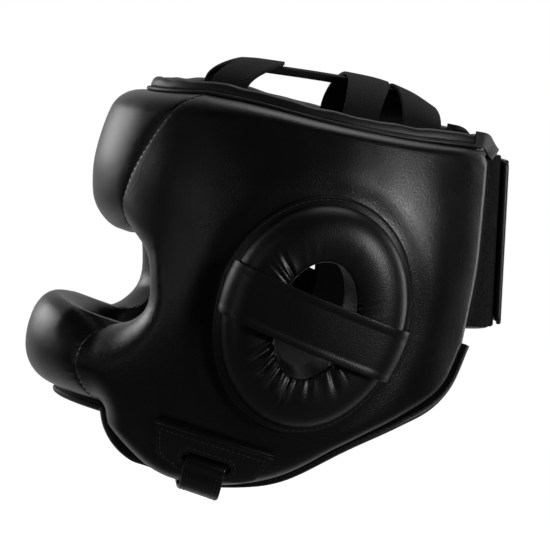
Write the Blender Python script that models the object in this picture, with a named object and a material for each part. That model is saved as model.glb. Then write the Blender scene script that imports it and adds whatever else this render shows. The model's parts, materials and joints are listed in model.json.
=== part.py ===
"""Boxing headgear with a padded face bar, modelled as the sewn pieces that it is made of.

Frame: metres, +Z up. The wearer faces -Y and the wearer's left is +X.
The origin lies midway between the two ear holes.

Every padded piece is laid on one smooth outer form. A place on it is an angle about the
vertical axis (0 at the front, 90 degrees at the wearer's left) and a height, and a level is
the distance outwards from the lining's inner face.
"""

import math

import bpy
import numpy as np
from mathutils import Vector

# Outer form of the padding: its largest distances from the vertical axis, and (height, share of them)
SHELL_FRONT = 0.150
SHELL_REAR = 0.116
SHELL_HALF_WIDTH = 0.103
FRONT_SHARES = ((-0.115, 0.840), (-0.080, 0.960), (-0.047, 1.0), (-0.020, 0.973),
                (0.020, 0.843), (0.060, 0.837), (0.110, 0.793))
REAR_SHARES = ((-0.115, 0.793), (-0.045, 0.948), (0.020, 1.0), (0.060, 0.991), (0.110, 0.922))
WIDTH_SHARES = ((-0.115, 0.757), (-0.080, 0.874), (-0.045, 0.951), (0.020, 1.0),
                (0.060, 0.971), (0.110, 0.825))
FRONT_REACH = tuple((z, SHELL_FRONT * share) for z, share in FRONT_SHARES)
REAR_REACH = tuple((z, SHELL_REAR * share) for z, share in REAR_SHARES)
HALF_WIDTH = tuple((z, SHELL_HALF_WIDTH * share) for z, share in WIDTH_SHARES)

# Thickness of the padding: (angle in degrees, thickness), and what the face bar adds
PAD_THICKNESS = ((0, 0.022), (40, 0.024), (70, 0.023), (110, 0.021), (140, 0.013), (180, 0.012))
FACE_BAR_EXTRA = 0.014
EDGE_THICKNESS = 0.006
FACE_BAR_TOP_EDGE = 0.027
FACE_BAR_FADE_ANGLES = (math.radians(40), math.radians(66))
FACE_BAR_FADE_HEIGHTS = (-0.024, 0.012)
TOP_EDGE_FADE_ANGLES = (math.radians(24), math.radians(40))
TOP_EDGE_FADE_HEIGHTS = (-0.062, -0.032)

# Run over which the padding rounds off to each free edge, as a share of its thickness
EYE_ROUNDING = 0.85
BROW_ROUNDING = 0.65
TOP_ROUNDING = 0.45
REAR_ROUNDING = 0.60
LOWER_ROUNDING = 0.60
FACE_BAR_ROUNDING = 0.85

# Sheets and clearances
COVER = 0.0015
LINING = 0.0015
GAP = 0.0004
SEAM_GAP = 0.0005
LAID_ON_GAP = 0.0007
FOAM_GAP = 0.0010

# Seams of the forehead panel and the face bar: (height, angle in degrees)
FOREHEAD_SEAM = ((0.0250, 26.0), (0.040, 27.3), (0.061, 31.2), (0.085, 37.0), (0.1085, 45.5))
FACE_BAR_SEAM = ((-0.083, 39.0), (-0.062, 36.2), (-0.045, 35.4), (-0.0275, 37.5))

# How far the lower and upper edges of these panels lie below the seams' ends at the middle
FOREHEAD_DIPS = (0.0020, 0.0060)
FACE_BAR_DIPS = (0.0, -0.0080)

# Free edges of the side panel in side view: (distance behind the ear, height)
EYE_EDGE = ((-0.1065, -0.0225), (-0.0975, -0.0130), (-0.0960, 0.0010), (-0.1000, 0.0140))
TOP_EDGE = ((-0.055, 0.1085), (-0.014, 0.1060), (0.031, 0.1045), (0.085, 0.1035))
REAR_EDGE = ((0.0885, 0.0985), (0.0907, 0.0650), (0.0927, 0.0350), (0.0925, -0.0060))
LOWER_EDGE = ((0.0845, -0.033), (0.063, -0.053), (0.030, -0.077), (0.003, -0.0975), (-0.022, -0.108),
              (-0.046, -0.1125), (-0.070, -0.1115), (-0.088, -0.104), (-0.104, -0.0925))

# Ear opening and the padded ring about it
EAR_HOLE_HALF_WIDTH = 0.0205
EAR_HOLE_UP = 0.031
EAR_HOLE_DOWN = 0.035
EAR_RING_HALF_WIDTH = 0.0540
EAR_RING_UP = 0.0655
EAR_RING_DOWN = 0.0685
EAR_TILT = math.radians(9.0)
EAR_RING_HEIGHT = 0.012
EAR_FLANGE_HEIGHT = 0.002
EAR_FLANGE_WIDTH = 0.0050
EAR_BAND_WIDTH = 0.027
EAR_BAND_TILT = math.radians(-12.5)
EAR_BAND_CENTRE = -0.004
EAR_BAND_THICKNESS = 0.002
EAR_BAND_GAP = 0.0009
EAR_BAND_END_PULL = 0.9
EAR_CREST = 0.45
EAR_CROWN_SHARES = (0.12, 0.28, EAR_CREST, 0.68, 0.88, 1.0)
EAR_HOLLOW_SHARES = (0.80, 0.62, EAR_CREST, 0.26)
EAR_SKIRT_SHARE = 0.94
EAR_BED_SHARES = (0.85, 0.62, 0.38, 0.15)
EAR_FOAM_SHARES = (0.22, EAR_CREST, 0.66)

# Bindings along the free edges
BINDING_HEIGHT = 0.0095
BINDING_OVERLAP = 0.0010
BINDING_SHOULDER = 0.7
BINDING_FOLD = 0.25
LOWER_BINDING_DROP = ((-0.110, 0.0120), (-0.092, 0.0110), (-0.075, 0.0065), (-0.055, 0.0040),
                      (-0.020, 0.0035), (0.030, 0.0045), (0.060, 0.0055), (0.090, 0.0095))
LOWER_BINDING_SETOUT = ((-0.112, 0.0070), (-0.092, 0.0045), (-0.070, 0.0))
FACE_BAR_BINDING_DROP = 0.0125
FACE_BAR_BINDING_SETOUT = 0.0080

# Crown straps
CROWN_STRAP_WIDTH = 0.025
CROWN_STRAP_THICKNESS = 0.002
CROWN_CROSSING_GAP = 0.0007
CROWN_CAMBER = 0.0010
CROWN_PROFILE = ((-0.060, 0.1285), (-0.045, 0.1302), (0.018, 0.1315), (0.042, 0.1275), (0.060, 0.1200))
CROSS_STRAPS = (("front", -0.0785, -0.044), ("middle", 0.0125, 0.0165), ("rear", 0.0550, 0.0445))
CROWN_STRAP_DEPTH_IN_SHELL = 0.006

# Rear closure: a tongue on the left under a strap from the right
REAR_TONGUE_THICKNESS = 0.003
REAR_STRAP_THICKNESS = 0.0026
REAR_TAPE = 0.0014
REAR_DEPTH_TOP = 0.0155
REAR_DEPTH_BOTTOM = 0.0260
REAR_STRAP_TOP = 0.0985
REAR_STRAP_BOTTOM = 0.0045
REAR_TONGUE_END = -0.024
REAR_STRAP_END = 0.014
REAR_HINGE_X = 0.042
REAR_ROOT_GAP = 0.0008
REAR_FOOT_BLEND = 0.2
REAR_STRAP_CLIMB = 1.15
REAR_TONGUE_MARGIN = 0.003
REAR_PANEL_MARGIN = 0.003
REAR_STEPS = 12

# Chin strap and its slotted patches
CHIN_PATCH_THICKNESS = 0.002
CHIN_SLOT_CENTRE = (-0.041, -0.0915)
CHIN_SLOT_LENGTH = 0.027
CHIN_SLOT_HEIGHT = 0.006
CHIN_STRAP_WIDTH = 0.020
CHIN_STRAP_THICKNESS = 0.002
CHIN_TAPE = 0.0008
CHIN_PATCH_HALF_WIDTH = 0.033
CHIN_PATCH_UP = 0.0165
CHIN_PATCH_DOWN = 0.0095
CHIN_PATCH_CORNER = 0.004
CHIN_PATCH_STEPS = 28
CHIN_TILT = math.radians(-7.0)
CHIN_TURN = 0.001
CHIN_SLOT_GAP = 0.0008
CHIN_LEVEL = -0.1130
CHIN_UNDER_TILT = math.radians(-10.0)
CHIN_BEND = ((0.0012, 0.0055), (0.0070, 0.0118), (0.0210, 0.0147))
CHIN_RISE = (0.052, 0.030)
CHIN_TAPE_MARGIN = 0.002
CHIN_STEPS = 16
CHIN_STRAP_END = 0.038
CHIN_TAB_END = 0.006

# How finely the rounded forms are stepped
SIDE_ROWS = (0.0, 0.05, 0.36, 0.64, 0.82, 0.92, 0.97, 1.0)
FOREHEAD_ROWS = (0.0, 0.05, 0.18, 0.50, 0.82, 0.95, 1.0)
FACE_BAR_ROWS = (0.0, 0.05, 0.18, 0.38, 0.60, 0.80, 0.95, 1.0)
FRONT_COLUMNS = (-1.0, -0.95, -0.65, -0.33, 0.0, 0.33, 0.65, 0.95, 1.0)
FIRST_COLUMN = math.radians(-85)
COLUMN_DRAW = 0.2
EYE_STEPS = 7
TOP_STEPS = 9
REAR_EDGE_STEPS = 5
LOWER_STEPS = 13
EAR_STEPS = 28
EAR_BAND_STEPS = 20
TOP_BINDING_STEPS = 10
FACE_BAR_BINDING_STEPS = 14
CROWN_STEPS = 6
CENTRE_STRAP_STEPS = 16


def smooth_curve(stations, t):
    """Value at t of a smooth curve through (t, value) stations, level past both ends."""
    if t <= stations[0][0]:
        return stations[0][1]
    if t >= stations[-1][0]:
        return stations[-1][1]
    index = max(i for i, station in enumerate(stations) if station[0] <= t)
    t0, v0 = stations[index]
    t1, v1 = stations[index + 1]

    def slope(i):
        before = stations[max(i - 1, 0)]
        after = stations[min(i + 1, len(stations) - 1)]
        return (after[1] - before[1]) / (after[0] - before[0])

    span = t1 - t0
    f = (t - t0) / span
    blend = f * f * (3 - 2 * f)
    start_pull = f * (1 - f) ** 2 * span * slope(index)
    end_pull = f * f * (f - 1) * span * slope(index + 1)
    return v0 + (v1 - v0) * blend + start_pull + end_pull


def curve_through(points, steps):
    """Evenly stepped points of a smooth curve through the given points, both ends included."""
    lengths = [0.0]
    for before, after in zip(points, points[1:]):
        lengths.append(lengths[-1] + math.dist(before, after))
    columns = [list(zip(lengths, column)) for column in zip(*points)]
    places = [lengths[-1] * i / steps for i in range(steps + 1)]
    return [tuple(smooth_curve(column, place) for column in columns) for place in places]


def ease(t):
    """0 below 0, 1 above 1 and a smooth rise between."""
    t = min(max(t, 0.0), 1.0)
    return t * t * (3 - 2 * t)


def falling(span, t):
    """1 below a span of values, 0 above it and a smooth fall between."""
    return ease((span[1] - t) / (span[1] - span[0]))


def reach(angle, z):
    """Front reach ahead of the ears, rear reach behind them."""
    stations = FRONT_REACH if abs(angle) <= math.pi / 2 else REAR_REACH
    return smooth_curve(stations, z)


def outer_form(angle, z):
    """Point of the smooth outer form."""
    return Vector((smooth_curve(HALF_WIDTH, z) * math.sin(angle), -reach(angle, z) * math.cos(angle), z))


def outward(angle, z):
    """Outward direction of the outer form."""
    step = 0.001
    width = smooth_curve(HALF_WIDTH, z)
    far = reach(angle, z)
    width_slope = (smooth_curve(HALF_WIDTH, z + step) - smooth_curve(HALF_WIDTH, z - step)) / (2 * step)
    far_slope = (reach(angle, z + step) - reach(angle, z - step)) / (2 * step)
    sine = math.sin(angle)
    cosine = math.cos(angle)
    rise = -width * far_slope * cosine ** 2 - far * width_slope * sine ** 2
    return Vector((far * sine, -width * cosine, rise)).normalized()


def face_bar_share(angle, z):
    """1 on the face bar and 0 away from it."""
    return falling(FACE_BAR_FADE_ANGLES, abs(angle)) * falling(FACE_BAR_FADE_HEIGHTS, z)


def pad_thickness(angle, z):
    """Full thickness of the padding."""
    plain = smooth_curve(PAD_THICKNESS, math.degrees(abs(angle)))
    return plain + FACE_BAR_EXTRA * face_bar_share(angle, z)


def edge_level(angle, z):
    """Level of the cover at a free edge. The face bar's top seam lies forward of its inner face."""
    across = falling(TOP_EDGE_FADE_ANGLES, abs(angle)) * face_bar_share(angle, z)
    upper = 1 - falling(TOP_EDGE_FADE_HEIGHTS, z)
    return EDGE_THICKNESS + (FACE_BAR_TOP_EDGE - EDGE_THICKNESS) * across * upper


def shell_point(angle, z, level):
    """Point at a level above the lining's inner face."""
    return outer_form(angle, z) + outward(angle, z) * (level - pad_thickness(angle, z))


def angle_at(y, z):
    """Angle of the outer form's left side at a place in side view."""
    far = smooth_curve(FRONT_REACH if y <= 0 else REAR_REACH, z)
    return math.acos(min(max(-y / far, -1.0), 1.0))


def side_point(y, z, level):
    """Point on the left side at a place in side view."""
    return shell_point(angle_at(y, z), z, level)


def seam_angle(seam, z):
    """Angle of a panel seam at a height."""
    return math.radians(smooth_curve(seam, z))


def seam_line(seam, rows, setback):
    """Places along a seam in side view, set back from it on the side panel."""
    bottom = seam[0][0]
    top = seam[-1][0]
    places = []
    for share in rows:
        z = bottom + (top - bottom) * share
        angle = seam_angle(seam, z) + setback / smooth_curve(FRONT_REACH, z)
        places.append((-smooth_curve(FRONT_REACH, z) * math.cos(angle), z))
    return places


def seam_end(seam, index):
    """Place in side view of a seam's lower (0) or upper (-1) end."""
    z, angle = seam[index]
    return (-smooth_curve(FRONT_REACH, z) * math.cos(math.radians(angle)), z)


def eye_edge(steps):
    """Edge of the eye opening on the side panel, from the face bar up to the forehead."""
    return curve_through([seam_end(FACE_BAR_SEAM, -1), *EYE_EDGE, seam_end(FOREHEAD_SEAM, 0)], steps)


def top_edge(steps):
    """Top edge of the side panel, from the forehead seam to the rear."""
    return curve_through([seam_end(FOREHEAD_SEAM, -1), *TOP_EDGE], steps)


def rear_edge(steps):
    """Rear edge of the side panel, from the top down."""
    return curve_through(REAR_EDGE, steps)


def lower_edge(steps):
    """Neck and jaw edge of the side panel, from the rear to the face bar."""
    return curve_through([REAR_EDGE[-1], *LOWER_EDGE, seam_end(FACE_BAR_SEAM, 0)], steps)


def front_edge(seam, dips, index, steps):
    """Lower (0) or upper (-1) edge of a front panel, from right to left."""
    z, limit = seam[index]
    shares = [2 * i / steps - 1 for i in range(steps + 1)]
    return [(math.radians(limit) * share, z - dips[index] * (1 - share ** 2)) for share in shares]


def free_edges():
    """Start points, end points and roundings of the short runs that make up every free edge."""
    starts = []
    ends = []
    roundings = []

    def add(points, rounding):
        for before, after in zip(points, points[1:]):
            starts.append(tuple(before))
            ends.append(tuple(after))
            roundings.append(rounding)

    rear = [top_edge(1)[-1], *rear_edge(20)]
    for places, rounding in ((eye_edge(24), EYE_ROUNDING), (top_edge(24), TOP_ROUNDING),
                             (rear, REAR_ROUNDING), (lower_edge(40), LOWER_ROUNDING)):
        left = [outer_form(angle_at(y, z), z) for y, z in places]
        add(left, rounding)
        add([Vector((-p.x, p.y, p.z)) for p in left], rounding)
    panels = ((FOREHEAD_SEAM, FOREHEAD_DIPS, (BROW_ROUNDING, TOP_ROUNDING)),
              (FACE_BAR_SEAM, FACE_BAR_DIPS, (FACE_BAR_ROUNDING, FACE_BAR_ROUNDING)))
    for seam, dips, lower_and_upper in panels:
        for index, rounding in zip((0, -1), lower_and_upper):
            add([outer_form(angle, z) for angle, z in front_edge(seam, dips, index, 24)], rounding)
    return np.array(starts), np.array(ends), np.array(roundings)


EDGE_STARTS, EDGE_ENDS, EDGE_ROUNDINGS = free_edges()


def rounded_rise(angle, z, thickness):
    """Rise of a rounded edge, from 0 at the nearest free edge to 1 on the full padding."""
    point = np.array(tuple(outer_form(angle, z)))
    runs = EDGE_ENDS - EDGE_STARTS
    along = np.einsum("ij,ij->i", point - EDGE_STARTS, runs) / np.einsum("ij,ij->i", runs, runs)
    nearest = EDGE_STARTS + runs * np.clip(along, 0.0, 1.0)[:, None]
    distances = np.sqrt(((point - nearest) ** 2).sum(axis=1))
    share = min(float((distances / EDGE_ROUNDINGS).min()) / thickness, 1.0)
    return math.sqrt(1 - (1 - share) ** 2)


def cover_level(angle, z):
    """Level of the cover's outer face: full padding, rounded off towards the free edges."""
    full = pad_thickness(angle, z)
    low = edge_level(angle, z)
    return low + (full - low) * rounded_rise(angle, z, full)


def inner_level(angle, z):
    """Level of the inner face: 0, rising to the seam along the face bar's top edge."""
    lift = edge_level(angle, z) - EDGE_THICKNESS
    return lift * (1 - rounded_rise(angle, z, FACE_BAR_TOP_EDGE))


def material(name, colour, roughness):
    """Principled material of one plain colour."""
    made = bpy.data.materials.get(name) or bpy.data.materials.new(name)
    made.use_nodes = True
    shader = made.node_tree.nodes["Principled BSDF"]
    shader.inputs["Base Color"].default_value = (*colour, 1.0)
    shader.inputs["Roughness"].default_value = roughness
    shader.inputs["Metallic"].default_value = 0.0
    return made


def leather():
    return material("black_leather", (0.012, 0.012, 0.013), 0.42)


def binding_tape():
    return material("black_binding", (0.010, 0.010, 0.011), 0.50)


def webbing():
    return material("black_webbing", (0.016, 0.016, 0.017), 0.75)


def lining_cloth():
    return material("grey_lining", (0.42, 0.43, 0.45), 0.85)


def foam():
    return material("grey_foam", (0.25, 0.25, 0.26), 0.95)


def hook_tape():
    return material("black_hook_tape", (0.014, 0.014, 0.015), 0.70)


def loop_tape():
    return material("black_loop_tape", (0.024, 0.024, 0.026), 0.95)


def signed_volume(points, faces):
    """Volume inside a closed set of faces, negative if they point inwards."""
    total = 0.0
    for face in faces:
        first = points[face[0]]
        for second, third in zip(face[1:], face[2:]):
            total += first.dot(points[second].cross(points[third])) / 6
    return total


def make_piece(name, points, faces, finish, carrier):
    """Closed piece from world points, held by an empty that stands on its own origin."""
    if signed_volume(points, faces) < 0:
        faces = [(face[0], *reversed(face[1:])) for face in faces]
    mesh = bpy.data.meshes.new(name)
    mesh.from_pydata([point - carrier.location for point in points], [], faces)
    mesh.validate()
    mesh.shade_smooth()
    mesh.set_sharp_from_angle(angle=math.radians(40))
    mesh.materials.append(finish)
    piece = bpy.data.objects.new(name, mesh)
    piece.parent = carrier
    bpy.context.collection.objects.link(piece)
    return piece


def add_carrier(name, place):
    """Empty that carries the pieces of one body."""
    carrier = bpy.data.objects.new(name, None)
    carrier.location = place
    carrier.empty_display_size = 0.02
    bpy.context.collection.objects.link(carrier)
    return carrier


def mirrored(rows):
    """The same rows on the wearer's right."""
    return [[Vector((-p.x, p.y, p.z)) for p in row] for row in rows]


def layer_piece(name, low, high, finish, carrier, ring=False):
    """Closed layer between two sheets of points. The rows of a ring close on themselves."""
    across = len(low[0])
    count = len(low) * across
    points = [p for row in high for p in row] + [p for row in low for p in row]

    def index(row, column):
        return row * across + column % across

    faces = []
    spans = across if ring else across - 1
    for row in range(len(low) - 1):
        for column in range(spans):
            corners = (index(row, column), index(row, column + 1),
                       index(row + 1, column + 1), index(row + 1, column))
            faces.append(corners)
            faces.append(tuple(corner + count for corner in (corners[0], *reversed(corners[1:]))))
    last_row = len(low) - 1
    for column in range(spans):
        first = (index(0, column), index(0, column + 1))
        final = (index(last_row, column), index(last_row, column + 1))
        faces.append((first[0], first[0] + count, first[1] + count, first[1]))
        faces.append((final[0], final[1], final[1] + count, final[0] + count))
    if not ring:
        for row in range(last_row):
            first = (index(row, 0), index(row + 1, 0))
            final = (index(row, across - 1), index(row + 1, across - 1))
            faces.append((first[0], first[1], first[1] + count, first[0] + count))
            faces.append((final[0], final[0] + count, final[1] + count, final[1]))
    return make_piece(name, points, faces, finish, carrier)


def swept_piece(name, sections, finish, carrier, ring=False):
    """Closed sweep of one outline through its stations, capped unless it closes on itself."""
    across = len(sections[0])
    points = [p for section in sections for p in section]
    faces = []
    for station in range(len(sections) if ring else len(sections) - 1):
        after = (station + 1) % len(sections)
        for i in range(across):
            j = (i + 1) % across
            faces.append((station * across + i, station * across + j, after * across + j, after * across + i))
    if not ring:
        last = (len(sections) - 1) * across
        faces.append(tuple(range(across))[::-1])
        faces.append(tuple(last + i for i in range(across)))
    return make_piece(name, points, faces, finish, carrier)


def padded_panel(names, grid, sides, core, sheet, carrier, ring=False, right=False):
    """Cover, foam and lining of one panel.

    The grid holds rows of (angle, height), whose outer rows, and outer columns unless it is a ring,
    are the panel's edges, where the cover turns in to meet the lining. Sides are the columns that
    the foam and lining use, core the foam's rows and sheet the lining's rows.
    """
    last_row = len(grid) - 1
    last_column = len(grid[0]) - 1

    def at_edge(row, column):
        return row in (0, last_row) or (not ring and column in (0, last_column))

    def level_of(row, column):
        angle, z = grid[row][column]
        return cover_level(angle, z), inner_level(angle, z)

    levels = [[level_of(row, column) for column in range(last_column + 1)] for row in range(last_row + 1)]

    def surface(rows, columns, rule):
        made = [[shell_point(*grid[r][c], rule(r, c)) for c in columns] for r in rows]
        return mirrored(made) if right else made

    def cover_low(row, column):
        outer, inner = levels[row][column]
        return inner + LINING + GAP if at_edge(row, column) else outer - COVER

    every_row = range(last_row + 1)
    every_column = range(last_column + 1)
    layer_piece(names[0], surface(every_row, every_column, cover_low),
                surface(every_row, every_column, lambda r, c: levels[r][c][0]), leather(), carrier, ring)
    foam_columns = every_column if ring else sides[1:-1]
    layer_piece(names[1], surface(core, foam_columns, lambda r, c: levels[r][c][1] + LINING + FOAM_GAP),
                surface(core, foam_columns, lambda r, c: levels[r][c][0] - COVER - FOAM_GAP),
                foam(), carrier, ring)
    inner_finish = leather() if "bar" in names[2] else lining_cloth()
    layer_piece(names[2], surface(sheet, sides, lambda r, c: levels[r][c][1]),
                surface(sheet, sides, lambda r, c: levels[r][c][1] + LINING), inner_finish, carrier, ring)


def ear_radius(direction, half_width, up, down):
    """Radius of an egg-shaped outline about the ear, at a direction from straight back."""
    local = direction + EAR_TILT
    tall = up if math.sin(local) > 0 else down
    return 1 / math.hypot(math.cos(local) / half_width, math.sin(local) / tall)


def ear_hole_radius(direction):
    return ear_radius(direction, EAR_HOLE_HALF_WIDTH, EAR_HOLE_UP, EAR_HOLE_DOWN)


def ear_ring_radius(direction):
    return ear_radius(direction, EAR_RING_HALF_WIDTH, EAR_RING_UP, EAR_RING_DOWN)


def side_panel_outline():
    """Places in side view round the side panel, from the bottom of the face bar's seam."""
    setback = SEAM_GAP / 2
    return [*seam_line(FACE_BAR_SEAM, FACE_BAR_ROWS, setback), *eye_edge(EYE_STEPS)[1:-1],
            *seam_line(FOREHEAD_SEAM, FOREHEAD_ROWS, setback), *top_edge(TOP_STEPS)[1:],
            *rear_edge(REAR_EDGE_STEPS), *lower_edge(LOWER_STEPS)[1:-1]]


def side_panel_grid():
    """Rows of the side panel from the ear hole out to its edges.

    The columns start from the hole at an even spacing, drawn somewhat towards their outline points.
    """
    outline = side_panel_outline()
    first = math.atan2(outline[0][1], outline[0][0])
    columns = []
    for i, (y, z) in enumerate(outline):
        turned = (first - math.atan2(z, y)) % (2 * math.pi) if i else 0.0
        even = FIRST_COLUMN - 2 * math.pi * i / len(outline)
        direction = even + COLUMN_DRAW * (first - turned - even)
        radius = ear_hole_radius(direction) + COVER + 2 * GAP
        columns.append((Vector((radius * math.cos(direction), radius * math.sin(direction))), Vector((y, z))))
    rows = []
    for share in SIDE_ROWS:
        places = [start.lerp(end, share) for start, end in columns]
        rows.append([(angle_at(*place), place.y) for place in places])
    return rows


def front_panel_grid(seam, dips, rows):
    """Rows of a front panel from its lower to its upper edge, between a seam and its mirror image."""
    bottom = seam[0][0]
    top = seam[-1][0]
    grid = []
    for share in rows:
        z = bottom + (top - bottom) * share
        limit = seam_angle(seam, z) - SEAM_GAP / 2 / smooth_curve(FRONT_REACH, z)
        dip = dips[0] + (dips[1] - dips[0]) * share
        grid.append([(limit * step, z - dip * (1 - step ** 2)) for step in FRONT_COLUMNS])
    return grid


def ear_ring_height(share):
    """Height of the ear ring's cover over the side panel, from the hole (0) to the flange (1)."""
    reach_from_crest = (share - EAR_CREST) / (EAR_CREST if share < EAR_CREST else 1 - EAR_CREST)
    bulge = math.sqrt(max(1 - reach_from_crest ** 2, 0.0))
    return EAR_FLANGE_HEIGHT + (EAR_RING_HEIGHT - EAR_FLANGE_HEIGHT) * bulge


def ear_section(direction):
    """Place of a share across the ear ring in one direction, and the side cover's level there."""
    hole = ear_hole_radius(direction)
    flange = ear_ring_radius(direction) - EAR_FLANGE_WIDTH

    def place(share, beyond=0.0):
        radius = hole + (flange - hole) * share + beyond
        return radius * math.cos(direction), radius * math.sin(direction)

    return place


def over_cover(place, height):
    """Point over the side panel's cover."""
    y, z = place
    angle = angle_at(y, z)
    return shell_point(angle, z, cover_level(angle, z) + height)


def ear_ring(side_name, right, carrier):
    """Gathered cover of the ear ring, which lines the ear hole, and the foam ring in it."""
    cover_sections = []
    foam_sections = []
    for step in range(EAR_STEPS):
        place = ear_section(2 * math.pi * step / EAR_STEPS)
        tube = [side_point(*place(0.0), 0.0), over_cover(place(0.0), EAR_FLANGE_HEIGHT)]
        crown = [over_cover(place(s), ear_ring_height(s)) for s in EAR_CROWN_SHARES]
        flange = [over_cover(place(1.0, EAR_FLANGE_WIDTH), EAR_FLANGE_HEIGHT),
                  over_cover(place(1.0, EAR_FLANGE_WIDTH), LAID_ON_GAP),
                  over_cover(place(EAR_SKIRT_SHARE), LAID_ON_GAP)]
        hollow = [over_cover(place(s), ear_ring_height(s) - COVER) for s in EAR_HOLLOW_SHARES]
        turned = [over_cover(place(0.0, COVER), ear_ring_height(EAR_CROWN_SHARES[0]) - COVER),
                  side_point(*place(0.0, COVER), 0.0)]
        cover_sections.append(tube + crown + flange + hollow + turned)
        bed = [over_cover(place(s), LAID_ON_GAP) for s in EAR_BED_SHARES]
        top = [over_cover(place(s), ear_ring_height(s) - COVER - FOAM_GAP) for s in EAR_FOAM_SHARES]
        foam_sections.append(bed + top)
    if right:
        cover_sections = mirrored(cover_sections)
        foam_sections = mirrored(foam_sections)
    swept_piece(f"ear_ring_cover_{side_name}", cover_sections, leather(), carrier, ring=True)
    swept_piece(f"ear_ring_foam_{side_name}", foam_sections, foam(), carrier, ring=True)


def ear_band(side_name, right, carrier):
    """Flat leather band over the ear ring, from its front flange to its rear flange."""
    low = []
    high = []
    for step in range(EAR_BAND_STEPS + 1):
        low_row = []
        high_row = []
        for across in (-0.5, -0.25, 0.0, 0.25, 0.5):
            offset = EAR_BAND_CENTRE + EAR_BAND_WIDTH * across
            run = 2 * step / EAR_BAND_STEPS - 1
            reach_here = math.sqrt(max(EAR_RING_HALF_WIDTH ** 2 - (EAR_BAND_END_PULL * offset) ** 2, 0.0))
            along = run * (reach_here - EAR_FLANGE_WIDTH / 2)
            y = along * math.cos(EAR_BAND_TILT) - offset * math.sin(EAR_BAND_TILT)
            z = along * math.sin(EAR_BAND_TILT) + offset * math.cos(EAR_BAND_TILT)
            direction = math.atan2(z, y)
            hole = ear_hole_radius(direction)
            flange = ear_ring_radius(direction) - EAR_FLANGE_WIDTH
            share = (math.hypot(y, z) - hole) / (flange - hole)
            height = ear_ring_height(min(max(share, EAR_CREST), 1.0)) + EAR_BAND_GAP
            low_row.append(over_cover((y, z), height))
            high_row.append(over_cover((y, z), height + EAR_BAND_THICKNESS))
        low.append(low_row)
        high.append(high_row)
    if right:
        low = mirrored(low)
        high = mirrored(high)
    layer_piece(f"ear_band_{side_name}", low, high, leather(), carrier)


def binding_sections(places, away, heights, setouts):
    """Outlines of a folded binding along an edge, given as (angle, height) places.

    Away gives, for a point, a direction that leads off the panel there. Heights holds how far the
    binding stands off the edge at each place, and setouts how far outwards of the lining it lies.
    """
    sections = []
    bases = [shell_point(angle, z, setout) for (angle, z), setout in zip(places, setouts)]
    for i, ((angle, z), height) in enumerate(zip(places, heights)):
        run = bases[min(i + 1, len(bases) - 1)] - bases[max(i - 1, 0)]
        out = outward(angle, z)
        off = out.cross(run).normalized()
        if off.dot(away(bases[i])) < 0:
            off.negate()
        inner = -BINDING_OVERLAP
        outer = EDGE_THICKNESS + BINDING_OVERLAP
        fold = BINDING_FOLD * outer
        side = BINDING_SHOULDER * height
        outline = ((inner, GAP), (inner, side), (inner + fold, height),
                   (outer - fold, height), (outer, side), (outer, GAP))
        sections.append([bases[i] + out * level + off * drop for level, drop in outline])
    return sections


def side_places(places):
    """(angle, height) of places in side view on the left side."""
    return [(angle_at(y, z), z) for y, z in places]


def bindings(carrier):
    """Bindings along the top edge, both lower edges and the face bar's lower edge."""
    left_top = side_places(top_edge(TOP_BINDING_STEPS))
    right_top = [(-angle, z) for angle, z in reversed(left_top)]
    middle = front_edge(FOREHEAD_SEAM, FOREHEAD_DIPS, -1, TOP_BINDING_STEPS)[1:-1]
    whole_top = right_top + middle + left_top
    count = len(whole_top)
    top = binding_sections(whole_top, lambda p: Vector((0, 0, 1)), [BINDING_HEIGHT] * count, [0.0] * count)
    swept_piece("top_binding", top, binding_tape(), carrier)
    edge = lower_edge(LOWER_STEPS)
    drops = [smooth_curve(LOWER_BINDING_DROP, y) for y, z in edge]
    setouts = [smooth_curve(LOWER_BINDING_SETOUT, y) for y, z in edge]
    lower = binding_sections(side_places(edge), lambda p: Vector((0, p.y, p.z)), drops, setouts)
    swept_piece("lower_binding_left", lower, binding_tape(), carrier)
    swept_piece("lower_binding_right", mirrored(lower), binding_tape(), carrier)
    limit = math.radians(FACE_BAR_SEAM[0][1]) - 2 * BINDING_HEIGHT / FRONT_REACH[0][1]
    shares = [2 * step / FACE_BAR_BINDING_STEPS - 1 for step in range(FACE_BAR_BINDING_STEPS + 1)]
    under = [(limit * share, FACE_BAR_SEAM[0][0]) for share in shares]
    count = len(under)
    bar = binding_sections(under, lambda p: Vector((0, 0, -1)), [FACE_BAR_BINDING_DROP] * count,
                           [FACE_BAR_BINDING_SETOUT] * count)
    swept_piece("face_bar_binding", bar, binding_tape(), carrier)


def over_top_edge(y, z, level):
    """Point beside the upper rim of the top binding, over a place on the left top edge."""
    angle = angle_at(y, z)
    step = 0.01
    run = shell_point(angle + step, z, 0.0) - shell_point(angle - step, z, 0.0)
    up = run.cross(outward(angle, z)).normalized()
    return shell_point(angle, z, level) + up * math.copysign(BINDING_HEIGHT, up.z)


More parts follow.
